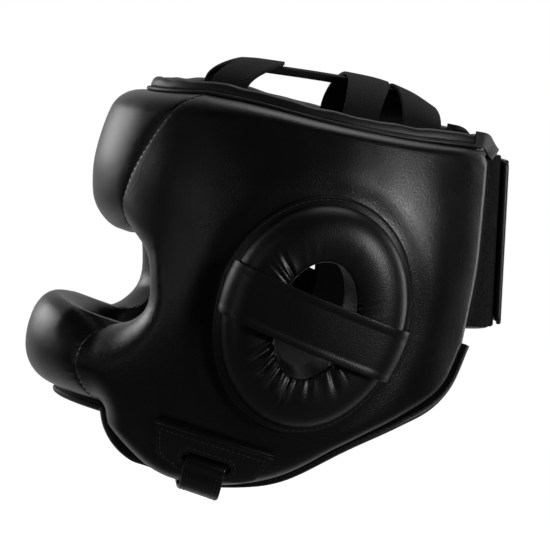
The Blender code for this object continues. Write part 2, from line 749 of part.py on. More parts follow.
def crown_strap(name, base_y, crest_y, carrier):
    """Webbing strap that arches from the left top edge to the right one."""
    top_stations = (seam_end(FOREHEAD_SEAM, -1), *TOP_EDGE)

    def sheet(inset):
        level = -BINDING_OVERLAP - LAID_ON_GAP - inset
        rows = []
        for across in (-0.5, 0.0, 0.5):
            foot_y = base_y + CROWN_STRAP_WIDTH * across
            edge_z = smooth_curve(top_stations, foot_y)
            foot = side_point(foot_y, edge_z - CROWN_STRAP_DEPTH_IN_SHELL, level)
            lip = over_top_edge(foot_y, edge_z, level)
            back = crest_y + CROWN_STRAP_WIDTH * across
            lift = smooth_curve(CROWN_PROFILE, back) - inset - lip.z
            left = [foot, lip]
            for step in range(1, CROWN_STEPS + 1):
                turn = math.pi / 2 * (1 - step / CROWN_STEPS)
                left.append(Vector((lip.x * math.sin(turn), back + (lip.y - back) * math.sin(turn) ** 2,
                                    lip.z + lift * math.cos(turn))))
            rows.append(left + [Vector((-p.x, p.y, p.z)) for p in reversed(left[:-1])])
        return rows

    layer_piece(name, sheet(CROWN_STRAP_THICKNESS), sheet(0.0), webbing(), carrier)


def crown(carrier):
    """Three cross straps and the centre strap under them."""
    for name, base_y, crest_y in CROSS_STRAPS:
        crown_strap(f"crown_strap_{name}", base_y, crest_y, carrier)
    front = CROSS_STRAPS[0][2] - CROWN_STRAP_WIDTH / 2
    rear = CROSS_STRAPS[-1][2] + CROWN_STRAP_WIDTH / 2
    under = CROWN_STRAP_THICKNESS + CROWN_CROSSING_GAP
    ys = [front + (rear - front) * i / CENTRE_STRAP_STEPS for i in range(CENTRE_STRAP_STEPS + 1)]
    high = [[Vector((CROWN_STRAP_WIDTH * across, y,
                     smooth_curve(CROWN_PROFILE, y) - under - CROWN_CAMBER * abs(2 * across))) for y in ys]
            for across in (-0.5, 0.0, 0.5)]
    low = [[p - Vector((0, 0, CROWN_STRAP_THICKNESS)) for p in row] for row in high]
    layer_piece("crown_strap_centre", low, high, webbing(), carrier)


def rear_root(z):
    """Foot of the rear closure, just behind the left side panel's rear edge."""
    stations = [(height, y) for y, height in reversed(REAR_EDGE)]
    return side_point(smooth_curve(stations, z) + REAR_ROOT_GAP, z, LINING)


def rear_straight_root(z):
    """The same foot on a straight line from its top to its bottom."""
    top = rear_root(REAR_EDGE[0][1])
    bottom = rear_root(REAR_EDGE[-1][1])
    return bottom.lerp(top, (z - bottom.z) / (top.z - bottom.z))


def rear_share(x):
    """Distance from the middle of the back as a share of the closure's half width."""
    return x / rear_straight_root((REAR_STRAP_TOP + REAR_STRAP_BOTTOM) / 2).x


def rear_point(share, z, offset):
    """Point of the rear closure, from its left foot (1) to its right foot (-1), offset outwards."""
    near_foot = 1 - ease((1 - abs(share)) / REAR_FOOT_BLEND)
    root = rear_straight_root(z).lerp(rear_root(z), near_foot)
    up = (z - REAR_STRAP_BOTTOM) / (REAR_STRAP_TOP - REAR_STRAP_BOTTOM)
    depth = REAR_DEPTH_BOTTOM + (REAR_DEPTH_TOP - REAR_DEPTH_BOTTOM) * up
    out = Vector((2 * depth * share / root.x, 1.0, 0.0)).normalized()
    return Vector((share * root.x, root.y + depth * (1 - share ** 2), z)) + out * offset


def rear_sheet(name, start, end, bottom, top, offset, thickness, finish, carrier):
    """Sheet of the rear closure between two shares and two heights, at an offset given by share."""
    near, far = sorted((start, end))
    lattice = [i / REAR_STEPS for i in range(-REAR_STEPS, REAR_STEPS + 1)]
    shares = [near, *(share for share in lattice if near < share < far), far]
    heights = [bottom + (top - bottom) * i / 4 for i in range(5)]
    low = [[rear_point(share, z, offset(share)) for share in shares] for z in heights]
    high = [[rear_point(share, z, offset(share) + thickness) for share in shares] for z in heights]
    layer_piece(name, low, high, finish, carrier)


def rear_closure(carrier):
    """Left tongue with its loop panel, right wing, and the strap with its hook panel on a hinge line."""
    hinge = rear_share(-REAR_HINGE_X)
    tongue_end = rear_share(REAR_TONGUE_END)
    strap_end = rear_share(REAR_STRAP_END)
    bottom = REAR_STRAP_BOTTOM
    top = REAR_STRAP_TOP
    loop_level = REAR_TONGUE_THICKNESS + LAID_ON_GAP
    hook_level = loop_level + REAR_TAPE + GAP
    strap_level = hook_level + REAR_TAPE + GAP
    wing_level = REAR_TONGUE_THICKNESS - REAR_STRAP_THICKNESS

    def strap_offset(share):
        climb = (share - hinge) / (tongue_end - hinge)
        return wing_level + (strap_level - wing_level) * ease(climb * REAR_STRAP_CLIMB)

    rear_sheet("rear_tongue", 1.0, tongue_end, bottom - REAR_TONGUE_MARGIN, top,
               lambda share: 0.0, REAR_TONGUE_THICKNESS, leather(), carrier)
    margin = rear_share(REAR_PANEL_MARGIN)
    rear_sheet("rear_loop_panel", 1.0 - margin, tongue_end + margin, bottom - REAR_TONGUE_MARGIN / 2,
               top - REAR_TONGUE_MARGIN / 2, lambda share: loop_level, REAR_TAPE, loop_tape(), carrier)
    rear_sheet("rear_wing", -1.0, hinge - rear_share(GAP), bottom, top - REAR_TONGUE_MARGIN,
               lambda share: 0.0, REAR_TONGUE_THICKNESS, leather(), carrier)
    middle = (bottom + top) / 2
    axis_carrier = add_carrier("rear_strap_axis", rear_point(hinge, middle, REAR_TONGUE_THICKNESS))
    rear_sheet("rear_strap", hinge, strap_end, bottom, top, strap_offset, REAR_STRAP_THICKNESS,
               leather(), axis_carrier)
    rear_sheet("rear_hook_panel", tongue_end + 2 * margin, strap_end - margin, bottom + REAR_PANEL_MARGIN,
               top - REAR_PANEL_MARGIN, lambda share: hook_level, REAR_TAPE, hook_tape(), axis_carrier)


def slot_radius(direction):
    """Radius of the chin slot, a slot with round ends, in one direction from its centre."""
    half = CHIN_SLOT_HEIGHT / 2
    straight = CHIN_SLOT_LENGTH / 2 - half
    cosine = abs(math.cos(direction))
    sine = abs(math.sin(direction))
    if straight * sine > half * cosine:
        return half / sine
    return straight * cosine + math.sqrt(max(half ** 2 - (straight * sine) ** 2, 0.0))


def patch_radius(direction):
    """Radius of the chin patch: a straight top with cut corners over a rounded lower side."""
    cosine = abs(math.cos(direction))
    sine = math.sin(direction)
    if sine <= 0:
        return 1 / math.hypot(cosine / CHIN_PATCH_HALF_WIDTH, sine / CHIN_PATCH_DOWN)
    box = min(CHIN_PATCH_UP / max(sine, 1e-6), CHIN_PATCH_HALF_WIDTH / max(cosine, 1e-6))
    corner = (CHIN_PATCH_HALF_WIDTH + CHIN_PATCH_UP - CHIN_PATCH_CORNER) / (cosine + sine)
    return min(box, corner)


def chin_place(direction, radius):
    """Place in side view at a direction and radius from the chin slot's centre."""
    turned = direction + CHIN_TILT
    return (CHIN_SLOT_CENTRE[0] + radius * math.cos(turned), CHIN_SLOT_CENTRE[1] + radius * math.sin(turned))


def chin_patch(side_name, right, carrier):
    """Slotted leather patch laid on the cheek."""
    directions = [2 * math.pi * (step + 0.5) / CHIN_PATCH_STEPS for step in range(CHIN_PATCH_STEPS)]
    places = []
    for share in (0.0, 0.5, 1.0):
        row = []
        for direction in directions:
            inner = slot_radius(direction)
            row.append(chin_place(direction, inner + (patch_radius(direction) - inner) * share))
        places.append(row)
    low = [[over_cover(place, LAID_ON_GAP) for place in row] for row in places]
    high = [[over_cover(place, LAID_ON_GAP + CHIN_PATCH_THICKNESS) for place in row] for row in places]
    if right:
        low = mirrored(low)
        high = mirrored(high)
    layer_piece(f"chin_patch_{side_name}", low, high, leather(), carrier, ring=True)


def chin_lip(across, drop, height):
    """Point over the chin patch, measured from the middle of the slot's lower lip."""
    level_across = math.cos(CHIN_TILT)
    y = CHIN_SLOT_CENTRE[0] + across * level_across + (drop + CHIN_SLOT_HEIGHT / 2) * math.sin(CHIN_TILT)
    z = CHIN_SLOT_CENTRE[1] + across * math.sin(CHIN_TILT) - (drop + CHIN_SLOT_HEIGHT / 2) * level_across
    return over_cover((y, z), height)


def chin_anchor(side_name, right, carrier):
    """Sewn root of the strap, which comes out of the slot and turns over its lower lip."""
    face = LAID_ON_GAP + CHIN_PATCH_THICKNESS + GAP
    inside = CHIN_SLOT_GAP - CHIN_SLOT_HEIGHT
    outline = ((inside, LAID_ON_GAP), (inside, face + CHIN_STRAP_THICKNESS),
               (CHIN_TURN, face + CHIN_STRAP_THICKNESS), (CHIN_TURN, face),
               (-CHIN_SLOT_GAP, face), (-CHIN_SLOT_GAP, LAID_ON_GAP))
    sections = []
    for step in range(5):
        across = CHIN_STRAP_WIDTH * (step / 4 - 0.5)
        sections.append([chin_lip(across, drop, height) for drop, height in outline])
    if right:
        sections = mirrored(sections)
    swept_piece(f"chin_anchor_{side_name}", sections, leather(), carrier)


def strap_sections(path, turns, width, thickness):
    """Flat sections along a path, across the given directions."""
    sections = []
    for i, point in enumerate(path):
        run = (path[min(i + 1, len(path) - 1)] - path[max(i - 1, 0)]).normalized()
        across = (turns[i] - run * turns[i].dot(run)).normalized()
        up = run.cross(across).normalized()
        corners = ((-1, -1), (1, -1), (1, 1), (-1, 1))
        sections.append([point + across * (a * width / 2) + up * (b * thickness / 2) for a, b in corners])
    return sections


def chin_axis():
    """Place and direction of the left chin tab's turning line, below the slot's lower lip."""
    height = LAID_ON_GAP + CHIN_PATCH_THICKNESS + GAP + CHIN_STRAP_THICKNESS / 2
    drop = CHIN_TURN + GAP + CHIN_STRAP_THICKNESS / 2
    front = chin_lip(-CHIN_STRAP_WIDTH / 2, drop, height)
    rear = chin_lip(CHIN_STRAP_WIDTH / 2, drop, height)
    return chin_lip(0.0, drop, height), (rear - front).normalized()


def chin_path(lift, end):
    """Path of a chin strap on the left: down the cheek, under the jaw edge and in to its end.

    Lift raises the part between the cheeks, where one strap lies on the other.
    """
    start, along = chin_axis()
    bends = [start + Vector((-inward, 0, -down)) for inward, down in CHIN_BEND]
    rise = [Vector((x, start.y, CHIN_LEVEL + up)) for x, up in zip(CHIN_RISE, (0.0, lift))]
    finish = Vector((end, start.y, CHIN_LEVEL + lift))
    path = [Vector(p) for p in curve_through([tuple(p) for p in (start, *bends, *rise, finish)], CHIN_STEPS)]
    level_turn = Vector((0, math.cos(CHIN_UNDER_TILT), math.sin(CHIN_UNDER_TILT)))
    turns = [along.lerp(level_turn, ease(2 * i / CHIN_STEPS)) for i in range(CHIN_STEPS + 1)]
    return path, turns


def chin_tape(name, offset, finish, carrier):
    """Tape at an offset above the middle of the chin tab, where the chin strap lies on it."""
    start, _ = chin_axis()
    reach_in = (CHIN_TAB_END + CHIN_TAPE_MARGIN, CHIN_STRAP_END - CHIN_TAPE_MARGIN)
    half = CHIN_STRAP_WIDTH / 2 - CHIN_TAPE_MARGIN
    along = Vector((0, math.cos(CHIN_UNDER_TILT), math.sin(CHIN_UNDER_TILT)))
    up = Vector((0, -along.z, along.y))
    middle = Vector((0, start.y, CHIN_LEVEL)) + up * offset
    low = [[middle + Vector((x, 0, 0)) + along * side * half for x in reach_in] for side in (-1, 1)]
    high = [[p + up * CHIN_TAPE for p in row] for row in low]
    layer_piece(name, low, high, finish, carrier)


def chin_closure(carrier):
    """Slotted patches and anchors on both cheeks, the left tab and the strap from the right."""
    for side_name, right in (("left", False), ("right", True)):
        chin_patch(side_name, right, carrier)
        chin_anchor(side_name, right, carrier)
    start, _ = chin_axis()
    tab_carrier = add_carrier("chin_tab_axis", start)
    path, turns = chin_path(0.0, CHIN_TAB_END)
    swept_piece("chin_tab", strap_sections(path, turns, CHIN_STRAP_WIDTH, CHIN_STRAP_THICKNESS),
                leather(), tab_carrier)
    loop_offset = CHIN_STRAP_THICKNESS / 2 + GAP
    chin_tape("chin_tab_loop_tape", loop_offset, loop_tape(), tab_carrier)
    hook_offset = loop_offset + CHIN_TAPE + GAP
    strap_carrier = add_carrier("chin_strap_axis", Vector((-start.x, start.y, start.z)))
    chin_tape("chin_strap_hook_tape", hook_offset, hook_tape(), strap_carrier)
    lift = (hook_offset + CHIN_TAPE + GAP + CHIN_STRAP_THICKNESS / 2) / math.cos(CHIN_UNDER_TILT)
    path, turns = chin_path(lift, -CHIN_STRAP_END)
    sections = strap_sections(path, turns, CHIN_STRAP_WIDTH, CHIN_STRAP_THICKNESS)
    swept_piece("chin_strap", mirrored(sections), leather(), strap_carrier)


def padded_shell(carrier):
    """Forehead, face bar and both side panels."""
    columns = range(len(FRONT_COLUMNS))
    forehead = front_panel_grid(FOREHEAD_SEAM, FOREHEAD_DIPS, FOREHEAD_ROWS)
    rows = range(len(forehead))
    padded_panel(("forehead_cover", "forehead_foam", "forehead_lining"), forehead, columns, rows[1:-1], rows,
                 carrier)
    face_bar = front_panel_grid(FACE_BAR_SEAM, FACE_BAR_DIPS, FACE_BAR_ROWS)
    rows = range(len(face_bar))
    padded_panel(("face_bar_cover", "face_bar_foam", "face_bar_inner_cover"), face_bar, columns, rows[1:-1],
                 rows, carrier)
    grid = side_panel_grid()
    for side_name, right in (("left", False), ("right", True)):
        names = [f"side_{layer}_{side_name}" for layer in ("cover", "foam", "lining")]
        padded_panel(names, grid, range(len(grid[0])), (1, 2, 3, 4, 5), (0, 2, 3, 4, 5, 7), carrier,
                     ring=True, right=right)
        ear_ring(side_name, right, carrier)
        ear_band(side_name, right, carrier)


def main():
    """Builds the whole headgear in an empty scene."""
    for old in list(bpy.data.objects):
        bpy.data.objects.remove(old, do_unlink=True)
    shell = add_carrier("headgear", Vector((0, 0, 0)))
    padded_shell(shell)
    bindings(shell)
    crown(shell)
    rear_closure(shell)
    chin_closure(shell)


main()
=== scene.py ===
"""Boxing headgear with a padded face bar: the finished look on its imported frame.

Frame: metres, +Z up. The wearer faces -Y and the wearer's left is +X. The origin lies midway
between the two ear holes.

Every padded piece is laid on one smooth outer form. A place on it is an angle about the vertical
axis (0 at the front, 90 degrees at the wearer's left) and a height. A level is the distance
outwards from the lining's inner face. A place in side view is a distance behind the ear and a height.
"""

import json
import logging
import math
from dataclasses import dataclass
from enum import Enum
from functools import cached_property
from typing import Callable

import bpy
import numpy as np
from mathutils import Matrix, Vector

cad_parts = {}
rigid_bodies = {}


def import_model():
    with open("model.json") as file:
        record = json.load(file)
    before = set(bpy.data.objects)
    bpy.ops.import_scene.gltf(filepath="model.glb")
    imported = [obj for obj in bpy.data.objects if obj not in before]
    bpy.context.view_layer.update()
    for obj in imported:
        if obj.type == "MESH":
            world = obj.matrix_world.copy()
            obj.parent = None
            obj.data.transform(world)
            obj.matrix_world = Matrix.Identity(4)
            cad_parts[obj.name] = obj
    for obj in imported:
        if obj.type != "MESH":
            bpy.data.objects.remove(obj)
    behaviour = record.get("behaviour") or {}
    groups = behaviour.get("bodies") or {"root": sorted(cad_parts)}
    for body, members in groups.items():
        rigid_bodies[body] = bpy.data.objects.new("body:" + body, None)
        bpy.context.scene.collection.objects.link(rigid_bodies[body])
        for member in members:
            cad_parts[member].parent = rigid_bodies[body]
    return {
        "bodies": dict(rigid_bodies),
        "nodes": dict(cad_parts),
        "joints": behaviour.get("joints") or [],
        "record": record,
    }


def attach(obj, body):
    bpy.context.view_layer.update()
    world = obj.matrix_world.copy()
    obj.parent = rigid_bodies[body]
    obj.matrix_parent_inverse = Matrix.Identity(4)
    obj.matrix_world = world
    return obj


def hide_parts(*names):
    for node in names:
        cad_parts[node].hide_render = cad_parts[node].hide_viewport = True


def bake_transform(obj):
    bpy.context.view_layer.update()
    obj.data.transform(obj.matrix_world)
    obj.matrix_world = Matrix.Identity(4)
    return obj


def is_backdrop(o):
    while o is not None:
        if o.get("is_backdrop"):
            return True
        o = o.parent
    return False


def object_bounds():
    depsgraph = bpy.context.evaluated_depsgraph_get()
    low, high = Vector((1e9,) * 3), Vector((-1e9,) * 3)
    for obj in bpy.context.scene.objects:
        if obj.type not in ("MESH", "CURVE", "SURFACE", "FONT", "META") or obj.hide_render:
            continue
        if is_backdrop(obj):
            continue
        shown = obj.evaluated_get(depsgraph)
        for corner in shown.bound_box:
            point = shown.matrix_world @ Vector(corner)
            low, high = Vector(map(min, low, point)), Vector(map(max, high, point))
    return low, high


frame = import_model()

log = logging.getLogger("headgear")

Array = np.ndarray
Places = tuple[Array, Array]
Pair = tuple[float, float]
Triple = tuple[float, float, float]
Stations = tuple[Pair, ...]
Colour = Triple
Offset = float | Callable[[Array], Array]
Piece = bpy.types.Object
Material = bpy.types.Material

FULL_TURN = 2 * math.pi
POINTS_AT_ONCE = 4000
UP = np.array((0.0, 0.0, 1.0))
IN_SIDE_VIEW = np.array((0.0, 1.0, 1.0))


class Side(Enum):
    """The two sides of the wearer, with the sign of their x."""

    LEFT = 1.0
    RIGHT = -1.0

    @property
    def label(self) -> str:
        """Lower-case name for piece names."""
        return self.name.lower()

    def facing(self, points: Array) -> Array:
        """Points of the left side, put on this side."""
        return points * np.array((self.value, 1.0, 1.0))


class Body(str, Enum):
    """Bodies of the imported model."""

    HEADGEAR = "headgear"
    REAR_STRAP = "rear_strap"
    CHIN_TAB = "chin_tab"
    CHIN_STRAP = "chin_strap"


class Slot(str, Enum):
    """Material slots of the record."""

    LEATHER = "leather"
    BINDING = "binding"
    WEBBING = "webbing"
    LINING = "lining"
    HOOK = "hook_tape"
    LOOP = "loop_tape"


# Curves and distances


def smooth_curve(stations: Stations, t: Array | float) -> Array:
    """Smooth curve through stations, level past both ends.

    Args:
        stations: Pairs of place and value, in rising order of place.
        t: Places to read.

    Returns:
        The values there.
    """
    places, values = np.array(stations, float).T
    order = np.arange(len(places))
    before = np.maximum(order - 1, 0)
    after = np.minimum(order + 1, len(places) - 1)
    slopes = (values[after] - values[before]) / (places[after] - places[before])
    t = np.clip(np.asarray(t, float), places[0], places[-1])
    i = np.clip(np.searchsorted(places, t, side="right") - 1, 0, len(places) - 2)
    span = places[i + 1] - places[i]
    f = (t - places[i]) / span
    blend = f * f * (3 - 2 * f)
    pull = f * (1 - f) ** 2 * slopes[i] + f * f * (f - 1) * slopes[i + 1]
    return values[i] + (values[i + 1] - values[i]) * blend + span * pull


def running(steps: Array) -> Array:
    """Running sums of steps, from 0."""
    return np.concatenate(([0.0], np.cumsum(steps)))


def arc_lengths(points: Array) -> Array:
    """Length along a line of points, from 0 at its start."""
    return running(np.linalg.norm(np.diff(points, axis=0), axis=1))


def read_along(columns: Array, lengths: Array, places: Array) -> Array:
    """Values at places along a line, from a table with a row for each of its lengths."""
    return np.stack([np.interp(places, lengths, column) for column in columns.T], axis=-1)


def spread(*parts: Array | float) -> Array:
    """Parts brought to one shape and set side by side on a new last axis."""
    return np.stack(np.broadcast_arrays(*parts), axis=-1)


def joined(*lines: Array) -> Array:
    """Lines or grids joined end to end."""
    return np.concatenate(lines)


def beside(*grids: Array) -> Array:
    """Grids joined along their columns."""
    return np.concatenate(grids, axis=1)


def curve_through(points: list[tuple[float, ...]], steps: int) -> Array:
    """Evenly stepped points of a smooth curve through the given points.

    Args:
        points: Points that the curve passes.
        steps: Number of steps between its two ends.

    Returns:
        The points, both ends included.
    """
    lengths = arc_lengths(np.array(points, float))
    places = lengths[-1] * np.arange(steps + 1) / steps
    columns = [smooth_curve(tuple(zip(lengths, column)), places) for column in zip(*points)]
    return np.stack(columns, axis=-1)


def evenly(points: Array, spacing: float) -> Array:
    """The same line in even steps near a spacing."""
    lengths = arc_lengths(points)
    count = max(int(round(lengths[-1] / spacing)), 2)
    return read_along(points, lengths, np.linspace(0.0, lengths[-1], count + 1))


def ease(t: Array | float) -> Array:
    """0 below 0, 1 above 1 and a smooth rise between."""
    t = np.clip(t, 0.0, 1.0)
    return t * t * (3 - 2 * t)


def rising(span: Pair, t: Array | float) -> Array:
    """0 below a span of values, 1 above it and a smooth rise between."""
    return ease((np.asarray(t) - span[0]) / (span[1] - span[0]))


def falling(span: Pair, t: Array | float) -> Array:
    """1 below a span of values, 0 above it and a smooth fall between."""
    return ease((span[1] - np.asarray(t)) / (span[1] - span[0]))


def hump(t: Array, middle: float, width: float) -> Array:
    """Smooth hump of height 1 about a middle."""
    return np.exp(-((t - middle) / width) ** 2)


def shoulder(t: Array) -> Array:
    """Rise of a round shoulder, from 0 at t = 0 to 1 at t = 1 and beyond."""
    return np.sqrt(1 - (1 - np.clip(t, 0.0, 1.0)) ** 2)


def unit(vectors: Array) -> Array:
    """Vectors brought to length 1."""
    return vectors / np.maximum(np.linalg.norm(vectors, axis=-1, keepdims=True), 1e-12)


def round_sections(middle: Array, wide: Array, tall: Array, corners: int) -> Array:
    """Oval outlines along a line, from their half axes."""
    turn = np.linspace(0, FULL_TURN, corners, endpoint=False)[:, None]
    return middle[:, None] + wide[:, None] * np.cos(turn) + tall[:, None] * np.sin(turn)


def seam_heights(seam: Stations, shares: Array) -> Array:
    """Heights at shares of the way up a seam."""
    return seam[0][0] + (seam[-1][0] - seam[0][0]) * shares


def nearest(points: Array, starts: Array, ends: Array, weights: Array | float = 1.0) -> Places:
    """Nearest of many short straight runs.

    Args:
        points: Points, as an array with x, y and z last.
        starts: Start points of the runs.
        ends: End points of the runs.
        weights: What each run's distance is divided by.

    Returns:
        The least weighted distance of each point, and its place as a run's number plus the share
        of that run.
    """
    flat = points.reshape(-1, 3)
    runs = ends - starts
    squares = np.einsum("ij,ij->i", runs, runs)
    distance = np.empty(len(flat))
    place = np.empty(len(flat))
    for first in range(0, len(flat), POINTS_AT_ONCE):
        batch = slice(first, first + POINTS_AT_ONCE)
        part = flat[batch, None, :]
        along = np.clip(np.einsum("pij,ij->pi", part - starts, runs) / squares, 0.0, 1.0)
        gaps = np.linalg.norm(part - (starts + runs * along[..., None]), axis=-1) / weights
        best = gaps.argmin(axis=1)
        rows = np.arange(len(best))
        distance[batch] = gaps[rows, best]
        place[batch] = best + along[rows, best]
    return distance.reshape(points.shape[:-1]), place.reshape(points.shape[:-1])


# Outer form of the padding


@dataclass(frozen=True)
class HeadForm:
    """Outer form, thickness and edges of the padded shell."""

    front: float = 0.150
    rear: float = 0.116
    width: float = 0.103
    front_shares: Stations = ((-0.115, 0.840), (-0.080, 0.960), (-0.047, 1.0), (-0.020, 0.973),
                              (0.020, 0.843), (0.060, 0.837), (0.110, 0.793))
    rear_shares: Stations = ((-0.115, 0.793), (-0.045, 0.948), (0.020, 1.0), (0.060, 0.991), (0.110, 0.922))
    width_shares: Stations = ((-0.115, 0.757), (-0.080, 0.874), (-0.045, 0.951), (0.020, 1.0),
                              (0.060, 0.971), (0.110, 0.825))
    padding: Stations = ((0, 0.022), (40, 0.024), (70, 0.023), (110, 0.021), (140, 0.013), (180, 0.012))
    face_bar_extra: float = 0.014
    edge_thickness: float = 0.006
    face_bar_top_edge: float = 0.027
    face_bar_fade_angles: Pair = (math.radians(40), math.radians(66))
    face_bar_fade_heights: Pair = (-0.024, 0.012)
    top_edge_fade_angles: Pair = (math.radians(24), math.radians(40))
    top_edge_fade_heights: Pair = (-0.062, -0.032)
    eye_roundings: Stations = ((0.0, 0.85), (0.25, 0.85), (0.55, 0.60), (1.0, 0.65))
    brow_rounding: float = 0.65
    top_roundings: Stations = ((0.0, 0.70), (0.12, 0.60), (0.30, 0.45), (1.0, 0.45))
    forehead_top_rounding: float = 0.70
    rear_rounding: float = 0.60
    lower_rounding: float = 0.60
    face_bar_rounding: float = 0.85
    forehead_seam: Stations = ((0.0250, 26.0), (0.040, 27.3), (0.061, 31.2), (0.085, 37.0), (0.1085, 45.5))
    face_bar_seam: Stations = ((-0.083, 39.0), (-0.062, 36.2), (-0.045, 35.4), (-0.0275, 37.5))
    forehead_dips: Pair = (0.0020, 0.0060)
    face_bar_dips: Pair = (0.0, -0.0080)
    eye_points: Stations = ((-0.1065, -0.0225), (-0.0975, -0.0130), (-0.0960, 0.0010), (-0.1000, 0.0140))
    top_points: Stations = ((-0.055, 0.1085), (-0.014, 0.1060), (0.031, 0.1045), (0.085, 0.1035))
    rear_points: Stations = ((0.0885, 0.0985), (0.0907, 0.0650), (0.0927, 0.0350), (0.0925, -0.0060))
    lower_points: Stations = ((0.0845, -0.033), (0.063, -0.053), (0.030, -0.077), (0.003, -0.0975),
                              (-0.022, -0.108), (-0.046, -0.1125), (-0.070, -0.1115), (-0.088, -0.104),
                              (-0.104, -0.0925))
    forehead_puff: float = 0.0030
    seam_depth: float = 0.0008
    seam_run: float = 0.0026
    pucker_height: float = 0.00030
    pucker_pitch: float = 0.0058
    pucker_run: float = 0.0045
    pucker_beat: Pair = (0.23, 0.7)
    second_pucker: Triple = (0.6, 1.63, 1.1)
    seam_steps: int = 40
    eye_steps: int = 24
    rear_steps: int = 20
    lower_steps: int = 40
    unevenness: float = 0.00006
    swells: tuple[Triple, ...] = (
        (0.031, 0.9, 0.4), (0.047, -0.5, 1.9), (0.023, 0.2, 2.7), (0.060, 1.4, 0.8))
    ear_dip: float = 0.0022
    ear_dip_run: float = 0.0085
    ear_dip_angles: Pair = (50.0, 60.0)
    cover: float = 0.0015
    lining: float = 0.0015
    gap: float = 0.0004
    laid_on_gap: float = 0.0007

    def front_reach(self, z: Array) -> Array:
        """Distance of the form from the vertical axis at the front."""
        return self.front * smooth_curve(self.front_shares, z)

    def rear_reach(self, z: Array) -> Array:
        """Distance of the form from the vertical axis at the rear."""
        return self.rear * smooth_curve(self.rear_shares, z)

    def half_width(self, z: Array) -> Array:
        """Distance of the form from the vertical axis at the ears."""
        return self.width * smooth_curve(self.width_shares, z)

    def reach(self, angle: Array, z: Array) -> Array:
        """Front reach ahead of the ears, rear reach behind them."""
        ahead = np.abs(angle) <= math.pi / 2
        return np.where(ahead, self.front_reach(z), self.rear_reach(z))

    def outer(self, angle: Array, z: Array) -> Array:
        """Points of the smooth outer form."""
        width = self.half_width(z)
        return spread(width * np.sin(angle), -self.reach(angle, z) * np.cos(angle), z)

    def outward(self, angle: Array, z: Array) -> Array:
        """Outward directions of the outer form."""
        step = 0.001
        width = self.half_width(z)
        far = self.reach(angle, z)
        width_slope = self.half_width(z + step) - self.half_width(z - step)
        far_slope = self.reach(angle, z + step) - self.reach(angle, z - step)
        sine = np.sin(angle)
        cosine = np.cos(angle)
        rise = -(width * far_slope * cosine ** 2 + far * width_slope * sine ** 2) / (2 * step)
        return unit(spread(far * sine, -width * cosine, rise))

    def face_bar_share(self, angle: Array, z: Array) -> Array:
        """1 on the face bar and 0 away from it."""
        return falling(self.face_bar_fade_angles, np.abs(angle)) * falling(self.face_bar_fade_heights, z)

    def thickness(self, angle: Array, z: Array) -> Array:
        """Full thickness of the padding."""
        plain = smooth_curve(self.padding, np.degrees(np.abs(angle)))
        return plain + self.face_bar_extra * self.face_bar_share(angle, z)

    def edge(self, angle: Array, z: Array) -> Array:
        """Level of the cover at a free edge."""
        across = falling(self.top_edge_fade_angles, np.abs(angle)) * self.face_bar_share(angle, z)
        upper = 1 - falling(self.top_edge_fade_heights, z)
        return self.edge_thickness + (self.face_bar_top_edge - self.edge_thickness) * across * upper

    def shell(self, angle: Array, z: Array, level: Array) -> Array:
        """Points at a level above the lining's inner face."""
        off = np.asarray(level - self.thickness(angle, z))
        return self.outer(angle, z) + self.outward(angle, z) * off[..., None]

    def angle_at(self, y: Array, z: Array) -> Array:
        """Angle of the left side at a place in side view."""
        far = np.where(np.asarray(y) <= 0, self.front_reach(z), self.rear_reach(z))
        return np.arccos(np.clip(-y / far, -1.0, 1.0))

    def side(self, y: Array, z: Array, level: Array) -> Array:
        """Points on the left side at places in side view."""
        return self.shell(self.angle_at(y, z), np.asarray(z, float), level)

    def side_outward(self, y: Array, z: Array) -> Array:
        """Outward directions on the left side at places in side view."""
        return self.outward(self.angle_at(y, z), z)

    def over_cover(self, y: Array, z: Array, height: Array | float) -> Array:
        """Points over the left side's dressed cover."""
        angle = self.angle_at(y, z)
        return self.shell(angle, np.asarray(z, float), self.dressed_level(angle, z) + height)

    def seam_places(self, seam: Stations, shares: Array, setback: float = 0.0) -> Array:
        """Places along a seam in side view, set back from it on the side panel."""
        z = seam_heights(seam, shares)
        far = self.front_reach(z)
        angle = np.radians(smooth_curve(seam, z)) + setback / far
        return spread(-far * np.cos(angle), z)

    def seam_end(self, seam: Stations, upper: bool) -> Pair:
        """Place in side view of a seam's lower or upper end."""
        return tuple(self.seam_places(seam, np.array([1.0 if upper else 0.0]))[0])

    def eye_edge(self, steps: int) -> Array:
        """Edge of the eye opening on the side panel, from the face bar up to the forehead."""
        ends = (self.seam_end(self.face_bar_seam, True), self.seam_end(self.forehead_seam, False))
        return curve_through([ends[0], *self.eye_points, ends[1]], steps)

    def top_edge(self, steps: int) -> Array:
        """Top edge of the side panel, from the forehead seam to the rear."""
        return curve_through([self.seam_end(self.forehead_seam, True), *self.top_points], steps)

    def rear_edge(self, steps: int) -> Array:
        """Rear edge of the side panel, from the top down."""
        return curve_through(list(self.rear_points), steps)

    def lower_edge(self, steps: int) -> Array:
        """Neck and jaw edge of the side panel, from the rear to the face bar."""
        points = [self.rear_points[-1], *self.lower_points, self.seam_end(self.face_bar_seam, False)]
        return curve_through(points, steps)

    def front_edge(self, seam: Stations, dips: Pair, upper: bool, steps: int) -> Places:
        """Angles and heights of a front panel's lower or upper edge, from right to left."""
        z, limit = seam[-1 if upper else 0]
        shares = np.linspace(-1.0, 1.0, steps + 1)
        return math.radians(limit) * shares, z - dips[1 if upper else 0] * (1 - shares ** 2)

